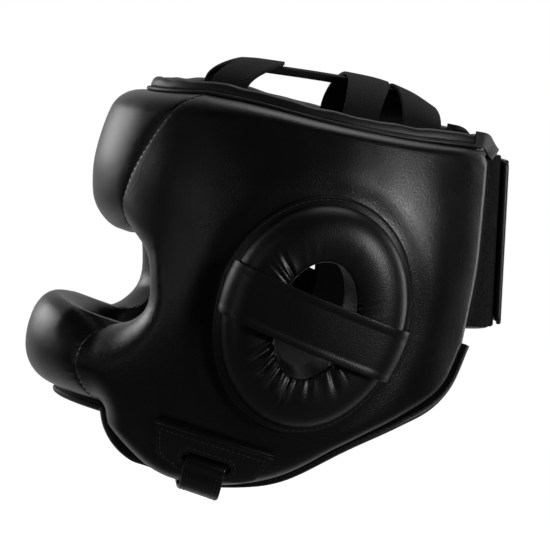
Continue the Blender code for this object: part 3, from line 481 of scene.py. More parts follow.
    @cached_property
    def free_edges(self) -> tuple[Array, Array, Array]:
        """Start points, end points and roundings of the short runs that make up every free edge."""
        lines = []
        rear = joined(self.top_edge(1)[-1:], self.rear_edge(self.rear_steps))
        edges = ((self.eye_edge(self.eye_steps), self.eye_roundings),
                 (self.top_edge(self.eye_steps), self.top_roundings),
                 (rear, ((0.0, self.rear_rounding), (1.0, self.rear_rounding))),
                 (self.lower_edge(self.lower_steps),
                  ((0.0, self.lower_rounding), (1.0, self.lower_rounding))))
        for places, stations in edges:
            y, z = places.T
            left = self.outer(self.angle_at(y, z), z)
            rounding = smooth_curve(stations, np.linspace(0, 1, len(left) - 1))
            lines += [(side.facing(left), rounding) for side in Side]
        panels = ((self.forehead_seam, self.forehead_dips, self.brow_rounding, self.forehead_top_rounding),
                  (self.face_bar_seam, self.face_bar_dips, self.face_bar_rounding, self.face_bar_rounding))
        for seam, dips, *roundings in panels:
            for upper, rounding in zip((False, True), roundings):
                lines.append((self.outer(*self.front_edge(seam, dips, upper, self.eye_steps)), rounding))
        starts = joined(*(line[:-1] for line, _ in lines))
        ends = joined(*(line[1:] for line, _ in lines))
        return starts, ends, joined(*(np.full(len(line) - 1, rounding) for line, rounding in lines))

    @cached_property
    def seam_runs(self) -> Places:
        """Start and end points of the short runs that make up both panel seams on both sides."""
        lines = []
        for seam in (self.forehead_seam, self.face_bar_seam):
            z = np.linspace(seam[0][0], seam[-1][0], self.seam_steps + 1)
            line = self.outer(np.radians(smooth_curve(seam, z)), z)
            lines += [side.facing(line) for side in Side]
        return joined(*(line[:-1] for line in lines)), joined(*(line[1:] for line in lines))

    def puff(self, angle: Array, z: Array) -> Array:
        """How far the filling swells the middle of the forehead panel."""
        limit = np.radians(smooth_curve(self.forehead_seam, z))
        low, high = self.forehead_seam[0][0], self.forehead_seam[-1][0]
        up = (2 * z - low - high) / (high - low)
        across = np.clip(1 - (angle / limit) ** 2, 0.0, 1.0)
        return self.forehead_puff * across * np.clip(1 - up ** 2, 0.0, 1.0)

    def rounded_rise(self, angle: Array, z: Array, thickness: Array | float) -> Array:
        """Rise of a rounded edge, from 0 at the nearest free edge to 1 on the full padding."""
        starts, ends, roundings = self.free_edges
        distance, _ = nearest(self.outer(angle, z), starts, ends, roundings)
        return shoulder(distance / thickness)

    def puckers(self, distance: Array, along: Array) -> Array:
        """Small gathers that run across a sewn line and die out away from it."""
        fade = self.pucker_height * np.exp(-distance / self.pucker_run)
        turn = FULL_TURN * along / self.pucker_pitch
        beat, start = self.pucker_beat
        uneven = 0.5 + 0.5 * np.sin(beat * turn + start)
        share, pace, start = self.second_pucker
        return fade * uneven * (np.sin(turn) + share * np.sin(pace * turn + start))

    def lumps(self, angle: Array, z: Array) -> Array:
        """Slight unevenness of the stuffed cover, from a few crossing swells."""
        around = angle * self.width
        waves = [np.sin(FULL_TURN * (around * math.cos(turn) + z * math.sin(turn)) / length + start)
                 for length, turn, start in self.swells]
        return self.unevenness * sum(waves)

    def ear_fall(self, angle: Array, z: Array) -> Array:
        """How far the panel is drawn down along the sewn edge of the ear ring."""
        y = -self.reach(angle, z) * np.cos(angle)
        off = np.hypot(y, z) - EAR.ring_radius(np.arctan2(z, y))
        sideways = rising(self.ear_dip_angles, np.abs(np.degrees(angle)))
        return self.ear_dip * sideways * hump(off, 0.0, self.ear_dip_run)

    def dressed_level(self, angle: Array, z: Array) -> Array:
        """Level of the cover's outer face, with its sewn seams, gathers and rounded edges."""
        angle, z = np.broadcast_arrays(np.asarray(angle, float), np.asarray(z, float))
        full = self.thickness(angle, z)
        low = self.edge(angle, z)
        rise = self.rounded_rise(angle, z, full)
        starts, ends = self.seam_runs
        distance, place = nearest(self.outer(angle, z), starts, ends)
        along = place * np.linalg.norm(ends - starts, axis=1).mean()
        seam = self.seam_depth * (1 - shoulder(distance / self.seam_run))
        gathers = self.puckers(distance, along) * (place >= 2 * self.seam_steps)
        swell = self.puff(angle, z) - self.ear_fall(angle, z) + self.lumps(angle, z)
        return low + (full - low) * rise + rise * (gathers - seam + swell)

    def inner_level(self, angle: Array, z: Array) -> Array:
        """Level of the inner face: 0, rising to the seam along the face bar's top edge."""
        lift = self.edge(angle, z) - self.edge_thickness
        return lift * (1 - self.rounded_rise(angle, z, self.face_bar_top_edge))


@dataclass(frozen=True)
class EarForm:
    """Outlines and height of the padded ring about an ear opening."""

    hole_half_width: float = 0.0205
    hole_up: float = 0.031
    hole_down: float = 0.035
    ring_half_width: float = 0.0540
    ring_up: float = 0.0655
    ring_down: float = 0.0685
    tilt: float = math.radians(9.0)
    height: float = 0.012
    flange_height: float = 0.002
    flange_width: float = 0.0050
    crest: float = 0.45

    def egg(self, direction: Array, half_width: float, up: float, down: float) -> Array:
        """Radius of an egg-shaped outline, at a direction from straight back."""
        local = direction + self.tilt
        tall = np.where(np.sin(local) > 0, up, down)
        return 1 / np.hypot(np.cos(local) / half_width, np.sin(local) / tall)

    def hole_radius(self, direction: Array) -> Array:
        """Radius of the ear hole."""
        return self.egg(direction, self.hole_half_width, self.hole_up, self.hole_down)

    def ring_radius(self, direction: Array) -> Array:
        """Radius of the ring's sewn edge."""
        return self.egg(direction, self.ring_half_width, self.ring_up, self.ring_down)

    def ring_height(self, share: Array) -> Array:
        """Height of the ring over the side panel, from the hole (0) to the flange (1)."""
        off = np.where(share < self.crest, (share - self.crest) / self.crest,
                       (share - self.crest) / (1 - self.crest))
        rise = np.sqrt(np.maximum(1 - off ** 2, 0))
        return self.flange_height + (self.height - self.flange_height) * rise


EAR = EarForm()
FORM = HeadForm()


# Shading


class Value:
    """A number on a socket. Python's operators on it add Math nodes."""

    def __init__(self, graph: "Graph", socket: bpy.types.NodeSocket) -> None:
        """Wraps a socket of a graph."""
        self.graph = graph
        self.socket = socket

    def maths(self, operation: str, *numbers: "Value | float") -> "Value":
        """Result of one Math node on these numbers."""
        inputs = dict(enumerate(numbers))
        return self.graph.value("ShaderNodeMath", 0, {"operation": operation}, inputs)

    def __add__(self, other: "Value | float") -> "Value":
        """Sum."""
        return self.maths("ADD", self, other)

    __radd__ = __add__

    def __sub__(self, other: "Value | float") -> "Value":
        """Difference."""
        return self.maths("SUBTRACT", self, other)

    def __rsub__(self, other: float) -> "Value":
        """Difference from a number."""
        return self.maths("SUBTRACT", other, self)

    def __mul__(self, other: "Value | float") -> "Value":
        """Product."""
        return self.maths("MULTIPLY", self, other)

    __rmul__ = __mul__

    def __pow__(self, other: "Value | float") -> "Value":
        """Power."""
        return self.maths("POWER", self, other)

    def sine(self) -> "Value":
        """Sine."""
        return self.maths("SINE", self)

    def wave(self, pitch: float) -> "Value":
        """Wave between 0 and 1 with a pitch along this value."""
        return (self * (FULL_TURN / pitch)).sine() * 0.5 + 0.5

    def rise(self, low: float, high: float, first: float = 0.0, last: float = 1.0) -> "Value":
        """First number below a range, last number above it and a smooth change between."""
        return self.graph.value("ShaderNodeMapRange", 0, {"interpolation_type": "SMOOTHSTEP"},
                                {0: self, 1: low, 2: high, 3: first, 4: last})


class Graph:
    """Node tree of a material or of the surroundings."""

    def __init__(self, owner: Material | bpy.types.World, shader: str = "Principled BSDF") -> None:
        """Takes up the nodes of a new material or of new surroundings."""
        owner.use_nodes = True
        self.owner = owner
        self.tree = owner.node_tree
        self.shader = self.tree.nodes[shader]

    def node(self, kind: str, settings: dict | None = None, inputs: dict | None = None) -> bpy.types.Node:
        """Adds a node.

        Args:
            kind: The node's type.
            settings: Its properties.
            inputs: Values or links of its sockets, by name or number.

        Returns:
            The node.
        """
        made = self.tree.nodes.new(kind)
        for key, setting in (settings or {}).items():
            setattr(made, key, setting)
        for key, given in (inputs or {}).items():
            if isinstance(given, Value):
                self.tree.links.new(given.socket, made.inputs[key])
            else:
                made.inputs[key].default_value = given
        return made

    def value(self, kind: str, output: str | int, settings: dict | None = None,
              inputs: dict | None = None) -> Value:
        """One output of a new node, ready for maths."""
        return Value(self, self.node(kind, settings, inputs).outputs[output])

    def place(self) -> Value:
        """Object coordinates."""
        return self.value("ShaderNodeTexCoord", "Object")

    def parts(self, vector: Value) -> list[Value]:
        """The three parts of a vector."""
        split = self.node("ShaderNodeSeparateXYZ", inputs={0: vector})
        return [Value(self, part) for part in split.outputs]

    def across_and_along(self) -> list[Value]:
        """The piece's own map in metres, across and along it."""
        return self.parts(self.value("ShaderNodeUVMap", "UV", {"uv_map": "metres"}))[:2]

    def join(self, name: str, given: Value) -> None:
        """Leads a value into one of the shader's sockets."""
        self.tree.links.new(given.socket, self.shader.inputs[name])

    def noise(self, place: Value, size: float, detail: float = 3.0, roughness: float = 0.5) -> Value:
        """Noise with features of a size in metres."""
        return self.value("ShaderNodeTexNoise", 0, {},
                          {"Vector": place, "Scale": 1 / size, "Detail": detail, "Roughness": roughness})

    def cells(self, place: Value, size: float, smoothness: float = 0.5) -> Value:
        """Distance from the middle of round cells of a size in metres."""
        return self.value("ShaderNodeTexVoronoi", "Distance", {"feature": "SMOOTH_F1"},
                          {"Vector": place, "Scale": 1 / size, "Smoothness": smoothness})

    def mix(self, factor: Value, first: Colour, second: Colour) -> Value:
        """Colour between two colours."""
        return self.value("ShaderNodeMix", 2, {"data_type": "RGBA"},
                          {0: factor, 6: (*first, 1.0), 7: (*second, 1.0)})

    def dress(self, colour: Value, roughness: Value, height: Value, depth: float,
              **fixed: float) -> Material:
        """Joins a finish to the shader.

        Args:
            colour: Base colour.
            roughness: Roughness.
            height: Relief between 0 and 1.
            depth: Depth of the relief in metres.
            fixed: Shader values that are the same all over, with underscores for spaces.

        Returns:
            The material.
        """
        relief = self.value("ShaderNodeBump", 0, {}, {"Height": height, "Distance": depth, "Strength": 1.0})
        for name, given in (("Base Color", colour), ("Roughness", roughness), ("Normal", relief)):
            self.join(name, given)
        for name, number in fixed.items():
            self.shader.inputs[name.replace("_", " ")].default_value = number
        return self.owner


@dataclass(frozen=True)
class Leather:
    """Grained synthetic leather, a little paler and smoother where it is rubbed."""

    name: str
    colour: Colour = (0.0040, 0.0040, 0.0043)
    rubbed: Colour = (0.0075, 0.0075, 0.0079)
    roughness: float = 0.30
    grain: float = 0.0007
    depth: float = 0.00012

    def material(self) -> Material:
        """Makes the material."""
        graph = Graph(bpy.data.materials.new(self.name))
        place = graph.place()
        pebbles = 1 - graph.cells(place, self.grain)
        pores = graph.noise(place, self.grain / 3, detail=2.0)
        creases = graph.noise(place, 0.014, detail=4.0, roughness=0.6)
        patches = graph.noise(place, 0.05)
        worn = graph.value("ShaderNodeAttribute", "Fac", {"attribute_name": "rubbing"})
        share = patches.rise(0.42, 0.72) * 0.45 + worn * 0.55
        height = pebbles * 0.85 + pores * 0.25 + creases * 0.05
        rough = self.roughness + (pores - 0.5) * 0.16 + (patches - 0.5) * 0.10 - worn * 0.05
        colour = graph.mix(share, self.colour, self.rubbed)
        return graph.dress(colour, rough, height, self.depth, Specular_IOR_Level=0.5)


@dataclass(frozen=True)
class Webbing:
    """Woven tape with ribs along it and a bound edge."""

    name: str
    colour: Colour = (0.0040, 0.0040, 0.0043)
    pale: Colour = (0.014, 0.014, 0.0148)
    roughness: float = 0.74
    rib: float = 0.00125
    pick: float = 0.00150
    depth: float = 0.00028

    def material(self) -> Material:
        """Makes the material."""
        graph = Graph(bpy.data.materials.new(self.name))
        across, along = graph.across_and_along()
        ribs = across.wave(self.rib)
        picks = along.wave(self.pick)
        fibres = graph.noise(graph.place(), 0.00022, detail=2.0)
        weave = ribs * 0.45 + picks * 0.35 + ribs * picks * 0.35
        height = weave + fibres * 0.35
        colour = graph.mix(weave * 0.6 + fibres * 0.35, self.colour, self.pale)
        rough = self.roughness + (fibres - 0.5) * 0.2
        return graph.dress(colour, rough, height, self.depth, Specular_IOR_Level=0.2)


@dataclass(frozen=True)
class Binding:
    """Smooth folded tape with a fine cross grain."""

    name: str
    colour: Colour = (0.0055, 0.0055, 0.0060)
    pale: Colour = (0.016, 0.016, 0.017)
    roughness: float = 0.46
    depth: float = 0.00010

    def material(self) -> Material:
        """Makes the material."""
        graph = Graph(bpy.data.materials.new(self.name))
        place = graph.place()
        grain = 1 - graph.cells(place, 0.0008)
        weave = graph.noise(place, 0.0004, detail=2.0)
        patches = graph.noise(place, 0.02)
        colour = graph.mix(patches.rise(0.40, 0.75) * 0.5 + weave * 0.3, self.colour, self.pale)
        rough = self.roughness + (weave - 0.5) * 0.2
        return graph.dress(colour, rough, grain * 0.6 + weave * 0.4, self.depth)


@dataclass(frozen=True)
class LiningCloth:
    """Knitted lining, its grey darkened well below the cloth's own light grey as painted shade for the
    inside of the shell.
    """

    name: str
    # Painted shade: these dark greys stand for the shade inside the shell and the ear holes; the cloth
    # itself is a lighter grey.
    colour: Colour = (0.030, 0.030, 0.0315)
    pale: Colour = (0.060, 0.060, 0.062)
    course: float = 0.0011
    depth: float = 0.00018

    def material(self) -> Material:
        """Makes the material."""
        graph = Graph(bpy.data.materials.new(self.name))
        across, along = graph.across_and_along()
        place = graph.place()
        knit = across.wave(self.course) * along.wave(self.course * 1.25)
        fibres = graph.noise(place, 0.0003, detail=2.0)
        patches = graph.noise(place, 0.03)
        colour = graph.mix(knit * 0.35 + fibres * 0.25 + patches * 0.4, self.colour, self.pale)
        rough = 0.80 + (fibres - 0.5) * 0.2
        return graph.dress(colour, rough, knit + fibres * 0.5, self.depth, Sheen_Weight=0.15)


@dataclass(frozen=True)
class Pile:
    """Fuzzy loops or stiff hooks of a touch fastener."""

    name: str
    colour: Colour
    pale: Colour
    tuft: float
    depth: float
    sheen: float

    def material(self) -> Material:
        """Makes the material."""
        graph = Graph(bpy.data.materials.new(self.name))
        place = graph.place()
        tufts = 1 - graph.cells(place, self.tuft, 0.2)
        fluff = graph.noise(place, self.tuft / 2.5, detail=5.0, roughness=0.7)
        worn = graph.noise(place, 0.012)
        colour = graph.mix(fluff.rise(0.38, 0.72) * 0.7 + worn.rise(0.5, 0.8) * 0.3, self.colour, self.pale)
        rough = 0.9 + (fluff - 0.5) * 0.15
        return graph.dress(colour, rough, tufts * 0.5 + fluff * 0.8, self.depth,
                           Sheen_Weight=self.sheen, Specular_IOR_Level=0.1)


@dataclass(frozen=True)
class Thread:
    """Twisted sewing thread."""

    name: str
    colour: Colour = (0.010, 0.010, 0.011)
    pale: Colour = (0.048, 0.048, 0.050)

    def material(self) -> Material:
        """Makes the material."""
        graph = Graph(bpy.data.materials.new(self.name))
        place = graph.place()
        fibres = graph.noise(place, 0.00025, detail=2.0)
        shade = graph.noise(place, 0.006, detail=2.0)
        colour = graph.mix(fibres * 0.5 + shade * 0.5, self.colour, self.pale)
        return graph.dress(colour, 0.5 + (fibres - 0.5) * 0.3, fibres, 0.00008)


@dataclass(frozen=True)
class PaleFloor:
    """Plain pale floor that fades out round the object."""

    name: str = "pale_floor"
    colour: Colour = (0.86, 0.86, 0.86)
    pale: Colour = (0.90, 0.90, 0.90)
    fade: Pair = (0.30, 0.62)
    glow: float = 0.80

    def material(self) -> Material:
        """Makes the material."""
        graph = Graph(bpy.data.materials.new(self.name))
        place = graph.place()
        speckle = graph.noise(place, 0.004, detail=4.0)
        x, y, _ = graph.parts(place)
        graph.join("Alpha", 1 - ((x * x + y * y) ** 0.5).rise(*self.fade))
        graph.shader.inputs["Emission Color"].default_value = (1.0, 1.0, 1.0, 1.0)
        colour = graph.mix(speckle, self.colour, self.pale)
        return graph.dress(colour, 0.7 + speckle * 0.1, speckle, 0.00005, Emission_Strength=self.glow)


@dataclass(frozen=True)
class Look:
    """A material with its slot in the record."""

    material: Material
    slot: Slot


class Finishes:
    """Looks of the whole headgear, each made once."""

    def __init__(self) -> None:
        """Makes every look."""
        leather = Leather("grained_leather")
        band_leather = Leather("band_leather", roughness=0.38, grain=0.0008, depth=0.00008)
        loops = Pile("fuzzy_loops", (0.004, 0.004, 0.0043), (0.020, 0.020, 0.021), 0.0011, 0.0009, 0.03)
        hooks = Pile("stiff_hooks", (0.005, 0.005, 0.0054), (0.020, 0.020, 0.021), 0.0014, 0.0005, 0.02)
        # Paler thread for the ear-band stitches: a painted highlight for the light they catch, not wear.
        band_thread = Thread("worn_thread", (0.030, 0.030, 0.031), (0.120, 0.120, 0.123))
        self.leather = Look(leather.material(), Slot.LEATHER)
        self.band_leather = Look(band_leather.material(), Slot.LEATHER)
        self.webbing = Look(Webbing("woven_webbing").material(), Slot.WEBBING)
        self.binding = Look(Binding("folded_binding").material(), Slot.BINDING)
        # The lining look carries painted shade: its cloth is darkened for the dim inside of the shell.
        self.lining = Look(LiningCloth("knitted_lining").material(), Slot.LINING)
        self.loops = Look(loops.material(), Slot.LOOP)
        self.hooks = Look(hooks.material(), Slot.HOOK)
        self.thread = Look(Thread("black_thread").material(), Slot.BINDING)
        self.band_thread = Look(band_thread.material(), Slot.BINDING)


# Modelling


class Bench:
    """Modelling steps that the sub-assemblies share."""

    stitch_flatness = 0.8

    def __init__(self, finishes: Finishes) -> None:
        """Keeps the finishes and models one stitch."""
        self.finishes = finishes
        self.pieces: list[Piece] = []
        self.stitch_points, self.stitch_faces = self.model_stitch()

    @staticmethod
    def model_stitch() -> tuple[Array, list[tuple[int, ...]]]:
        """Models one stitch of unit length along Y with round ends."""
        bpy.ops.object.select_all(action="DESELECT")
        bpy.ops.mesh.primitive_uv_sphere_add(segments=6, ring_count=5, radius=0.5)
        stitch = bpy.context.object
        bpy.ops.object.mode_set(mode="EDIT")
        bpy.ops.mesh.select_all(action="SELECT")
        bpy.ops.transform.rotate(value=math.pi / 2, orient_axis="X", center_override=(0, 0, 0))
        bpy.ops.object.mode_set(mode="OBJECT")
        points = np.array([vertex.co for vertex in stitch.data.vertices])
        faces = [tuple(face.vertices) for face in stitch.data.polygons]
        bpy.data.objects.remove(stitch, do_unlink=True)
        return points, faces

    def lay(self, name: str, points: Array, metres: Array | None = None) -> Piece:
        """Lays a grid on points.

        Args:
            name: Name of the piece.
            points: Rows and columns of points.
            metres: Place of each point across and along the piece, in metres.

        Returns:
            The sheet, with no thickness yet.
        """
        rows, columns = points.shape[:2]
        bpy.ops.object.select_all(action="DESELECT")
        bpy.ops.mesh.primitive_grid_add(x_subdivisions=columns - 1, y_subdivisions=rows - 1, size=1.0)
        piece = bpy.context.object
        piece.name = name
        mesh = piece.data
        mesh.name = name
        mesh.vertices.foreach_set("co", np.ascontiguousarray(points, dtype=np.float32).ravel())
        flat = metres if metres is not None else self.lengths_over(points)
        corners = np.empty(len(mesh.loops), dtype=np.int32)
        mesh.loops.foreach_get("vertex_index", corners)
        layer = mesh.uv_layers[0]
        layer.name = "metres"
        layer.data.foreach_set("uv", flat.reshape(-1, 2)[corners].astype(np.float32).ravel())
        mesh.update()
        return piece

    @staticmethod
    def lengths_over(points: Array) -> Array:
        """Lengths over a grid of points along its columns and its rows."""
        across = np.linalg.norm(np.diff(points, axis=0), axis=-1).mean(axis=1)
        along = np.linalg.norm(np.diff(points, axis=1), axis=-1).mean(axis=0)
        return spread(running(across)[:, None], running(along)[None, :])

    @staticmethod
    def area_of(points: Array) -> float:
        """Area of a grid of points."""
        down = points[1:, :-1] - points[:-1, :-1]
        side = points[:-1, 1:] - points[:-1, :-1]
        return float(np.linalg.norm(np.cross(down, side), axis=-1).sum())

    @staticmethod
    def rub(piece: Piece, shares: Array) -> None:
        """Notes how rubbed each point of a laid grid is, for its finish."""
        attribute = piece.data.attributes.new("rubbing", "FLOAT", "POINT")
        attribute.data.foreach_set("value", np.asarray(shares, dtype=np.float32).ravel())

    @staticmethod
    def face(piece: Piece, direction: Triple) -> None:
        """Turns a sheet over if the faces that lie across a direction point against it."""
        most = max(piece.data.polygons, key=lambda face: abs(face.normal.dot(direction)))
        if most.normal.dot(direction) < 0:
            piece.data.flip_normals()

    @staticmethod
    def close(piece: Piece) -> None:
        """Joins the meeting edges of a laid grid and turns its faces outwards."""
        bpy.context.view_layer.objects.active = piece
        bpy.ops.object.mode_set(mode="EDIT")
        bpy.ops.mesh.select_all(action="SELECT")
        bpy.ops.mesh.remove_doubles(threshold=1e-6)
        bpy.ops.mesh.select_all(action="SELECT")
        bpy.ops.mesh.normals_make_consistent(inside=False)
        bpy.ops.object.mode_set(mode="OBJECT")

    @staticmethod
    def thicken(piece: Piece, thickness: float, bevel: float = 0.0) -> None:
        """Gives a sheet its thickness, inwards from its outer face, with soft edges."""
        solidify = piece.modifiers.new("thickness", "SOLIDIFY")
        solidify.thickness = thickness
        solidify.offset = -1.0
        solidify.use_even_offset = False
        bpy.ops.object.modifier_apply(modifier=solidify.name)
        if bevel:
            soften = piece.modifiers.new("soft edges", "BEVEL")
            soften.width = bevel
            soften.segments = 3
            soften.limit_method = "ANGLE"
            soften.angle_limit = math.radians(50)
            bpy.ops.object.modifier_apply(modifier=soften.name)

    def finish(self, piece: Piece, look: Look, body: Body | None, *nodes: str,
               angle: float = 50.0) -> None:
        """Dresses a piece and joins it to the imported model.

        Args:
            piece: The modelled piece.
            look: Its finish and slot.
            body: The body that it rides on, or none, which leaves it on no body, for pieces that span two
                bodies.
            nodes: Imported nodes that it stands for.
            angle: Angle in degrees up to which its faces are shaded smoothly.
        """
        bpy.ops.object.select_all(action="DESELECT")
        piece.select_set(True)
        bpy.context.view_layer.objects.active = piece
        bpy.ops.object.shade_smooth_by_angle(angle=math.radians(angle))
        piece.data.materials.clear()
        piece.data.materials.append(look.material)
        if body is not None:
            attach(piece, body.value)
        if nodes:
            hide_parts(*nodes)
        self.pieces.append(piece)
        log.info("%s: %d faces", piece.name, len(piece.data.polygons))

    def pad(self, name: str, top: Array, bottom: Array, ring: bool, rubbing: Array) -> Piece:
        """Closed padded body between two grids of points with the same rows and columns.

        Args:
            name: Name of the piece.
            top: Points of the outer face.
            bottom: Points of the inner face.
            ring: Whether the rows close on themselves.
            rubbing: How rubbed each point of the outer face is.

        Returns:
            The closed body.
        """
        loop = joined(top, bottom[::-1], top[:1])
        shares = joined(rubbing, np.zeros(bottom.shape[:2]), rubbing[:1])
        if ring:
            loop = beside(loop, loop[:, :1])
            shares = beside(shares, shares[:, :1])
        else:
            middle = (top + bottom) / 2
            line = joined(middle, middle[::-1], middle[:1])
            loop = beside(line[:, :1], loop, line[:, -1:])
            shares = beside(shares[:, :1], shares, shares[:, -1:])
        piece = self.lay(name, loop)
        self.rub(piece, shares)
        self.close(piece)
        return piece

    def sweep(self, name: str, sections: Array, closed: bool = False) -> Piece:
        """Closed sweep of one outline through its stations.

        Args:
            name: Name of the piece.
            sections: Outline points of each station.
            closed: Whether the stations close on themselves.

        Returns:
            The closed body.
        """
        loop = beside(sections, sections[:, :1])
        if closed:
            loop = joined(loop, loop[:1])
        else:
            ends = [np.repeat(section.mean(axis=0)[None, None], loop.shape[1], axis=1)
                    for section in (sections[0], sections[-1])]
            loop = joined(ends[0], loop, ends[1])
        piece = self.lay(name, loop)
        self.close(piece)
        return piece

    def sew(self, name: str, line: Array, normals: Array, body: Body, pitch: float = 0.0034,
            length: float = 0.0025, width: float = 0.00062, lift: float = 0.12,
            look: Look | None = None) -> None:
        """Sews a row of stitches as one piece.

        Args:
            name: Name of the row.
            line: Points along the row, on the surface.
            normals: Outward directions there.
            body: The body that the row rides on.
            pitch: Distance from stitch to stitch.
            length: Length of a stitch.
            width: Thickness of the thread.
            lift: Share of its thickness by which the thread's middle lies above the surface.
            look: Finish of the thread, or none for the black thread.
        """
        lengths = arc_lengths(line)
        count = max(int(round(lengths[-1] / pitch)), 1)
        places = (np.arange(count) + 0.5) * lengths[-1] / count
        ahead, behind = (read_along(line, lengths, places + step) for step in (pitch / 8, -pitch / 8))
        run = unit(ahead - behind)
        side = unit(np.cross(run, read_along(normals, lengths, places)))
        up = np.cross(side, run)
        shape = self.stitch_points * np.array((width, length, width * self.stitch_flatness))
        centres = read_along(line, lengths, places) + up * width * lift
        points = centres[:, None] + shape @ np.stack([side, run, up], axis=1)
        offset = len(self.stitch_points)
        faces = [tuple(corner + offset * stitch for corner in face)
                 for stitch in range(count) for face in self.stitch_faces]
        mesh = bpy.data.meshes.new(name)
        mesh.from_pydata(points.reshape(-1, 3).tolist(), [], faces)
        piece = bpy.data.objects.new(name, mesh)
        bpy.context.collection.objects.link(piece)
        self.close(piece)
        self.finish(piece, look or self.finishes.thread, body, angle=80.0)


@dataclass(frozen=True)
class Swelling:
    """Cloth simulation of a cover that its filling presses out between its sewn edges."""

    pressure: float = 400.0
    frames: int = 20
    stride: int = 3
    cap: float = 0.0016
    vertex_mass: float = 0.05
    stretch: float = 5.0
    bending: float = 0.5
    smoothing: int = 6
    kept_share: float = 0.4

    def sheet(self, points: Array) -> Piece:
        """Open sheet with one vertex for each point and its border held by a vertex group."""
        rows, columns = points.shape[:2]
        number = np.arange(rows * columns).reshape(rows, columns)
        corners = (number[:-1, :-1], number[:-1, 1:], number[1:, 1:], number[1:, :-1])
        faces = np.stack([corner.ravel() for corner in corners], axis=-1)
        mesh = bpy.data.meshes.new("swelling_sheet")
        mesh.from_pydata(points.reshape(-1, 3).tolist(), [], faces.tolist())
        sheet = bpy.data.objects.new("swelling_sheet", mesh)
        bpy.context.collection.objects.link(sheet)
        middle = mesh.polygons[len(mesh.polygons) // 2]
        if middle.normal.dot(middle.center) < 0:
            mesh.flip_normals()
        held = joined(number[0], number[-1], number[:, 0], number[:, -1])
        sheet.vertex_groups.new(name="sewn").add(np.unique(held).tolist(), 1.0, "REPLACE")
        return sheet

    def simulate(self, points: Array) -> Array:
        """Moves of every point after the filling has pressed the sheet out."""
        sheet = self.sheet(points)
        cloth = sheet.modifiers.new("cloth", "CLOTH")
        cloth.settings.mass = self.vertex_mass
        cloth.settings.tension_stiffness = self.stretch
        cloth.settings.compression_stiffness = self.stretch
        cloth.settings.bending_stiffness = self.bending
        cloth.settings.vertex_group_mass = "sewn"
        cloth.settings.use_pressure = True
        cloth.settings.uniform_pressure_force = self.pressure
        cloth.settings.effector_weights.gravity = 0.0
        cloth.collision_settings.use_collision = False
        cloth.point_cache.frame_end = self.frames
        for frame in range(1, self.frames + 1):
            bpy.context.scene.frame_set(frame)
        swollen = sheet.evaluated_get(bpy.context.evaluated_depsgraph_get()).data
        places = np.empty(len(swollen.vertices) * 3)
        swollen.vertices.foreach_get("co", places)
        bpy.data.objects.remove(sheet)
        bpy.context.scene.frame_set(1)
        return places.reshape(points.shape) - points

    def moves(self, points: Array) -> Array:
        """Moves of a fine grid of points, simulated on every few rows and columns.

        Args:
            points: Grid of points on the cover, sewn down along its border.

        Returns:
            The moves, with their length capped and their steps smoothed.
        """
        ends = [np.arange(count) for count in points.shape[:2]]
        kept = [np.unique(np.append(end[::self.stride], end[-1])) for end in ends]
        moves = self.simulate(points[np.ix_(*kept)])
        size = np.linalg.norm(moves, axis=-1, keepdims=True)
        log.info("swelling: largest move %.2f mm", 1000 * float(size.max()))
        moves = moves * self.cap * np.tanh(size / self.cap) / np.maximum(size, 1e-9)
        for axis in (0, 1):
            moves = np.apply_along_axis(lambda line: np.interp(ends[axis], kept[axis], line), axis, moves)
        for _ in range(self.smoothing):
            inner = moves[1:-1, 1:-1]
            across = moves[1:-1, :-2] + moves[1:-1, 2:]
            along = moves[:-2, 1:-1] + moves[2:, 1:-1]
            neighbours = (across + along) / 4
            moves[1:-1, 1:-1] = self.kept_share * inner + (1 - self.kept_share) * neighbours
        return moves


# Sub-assemblies


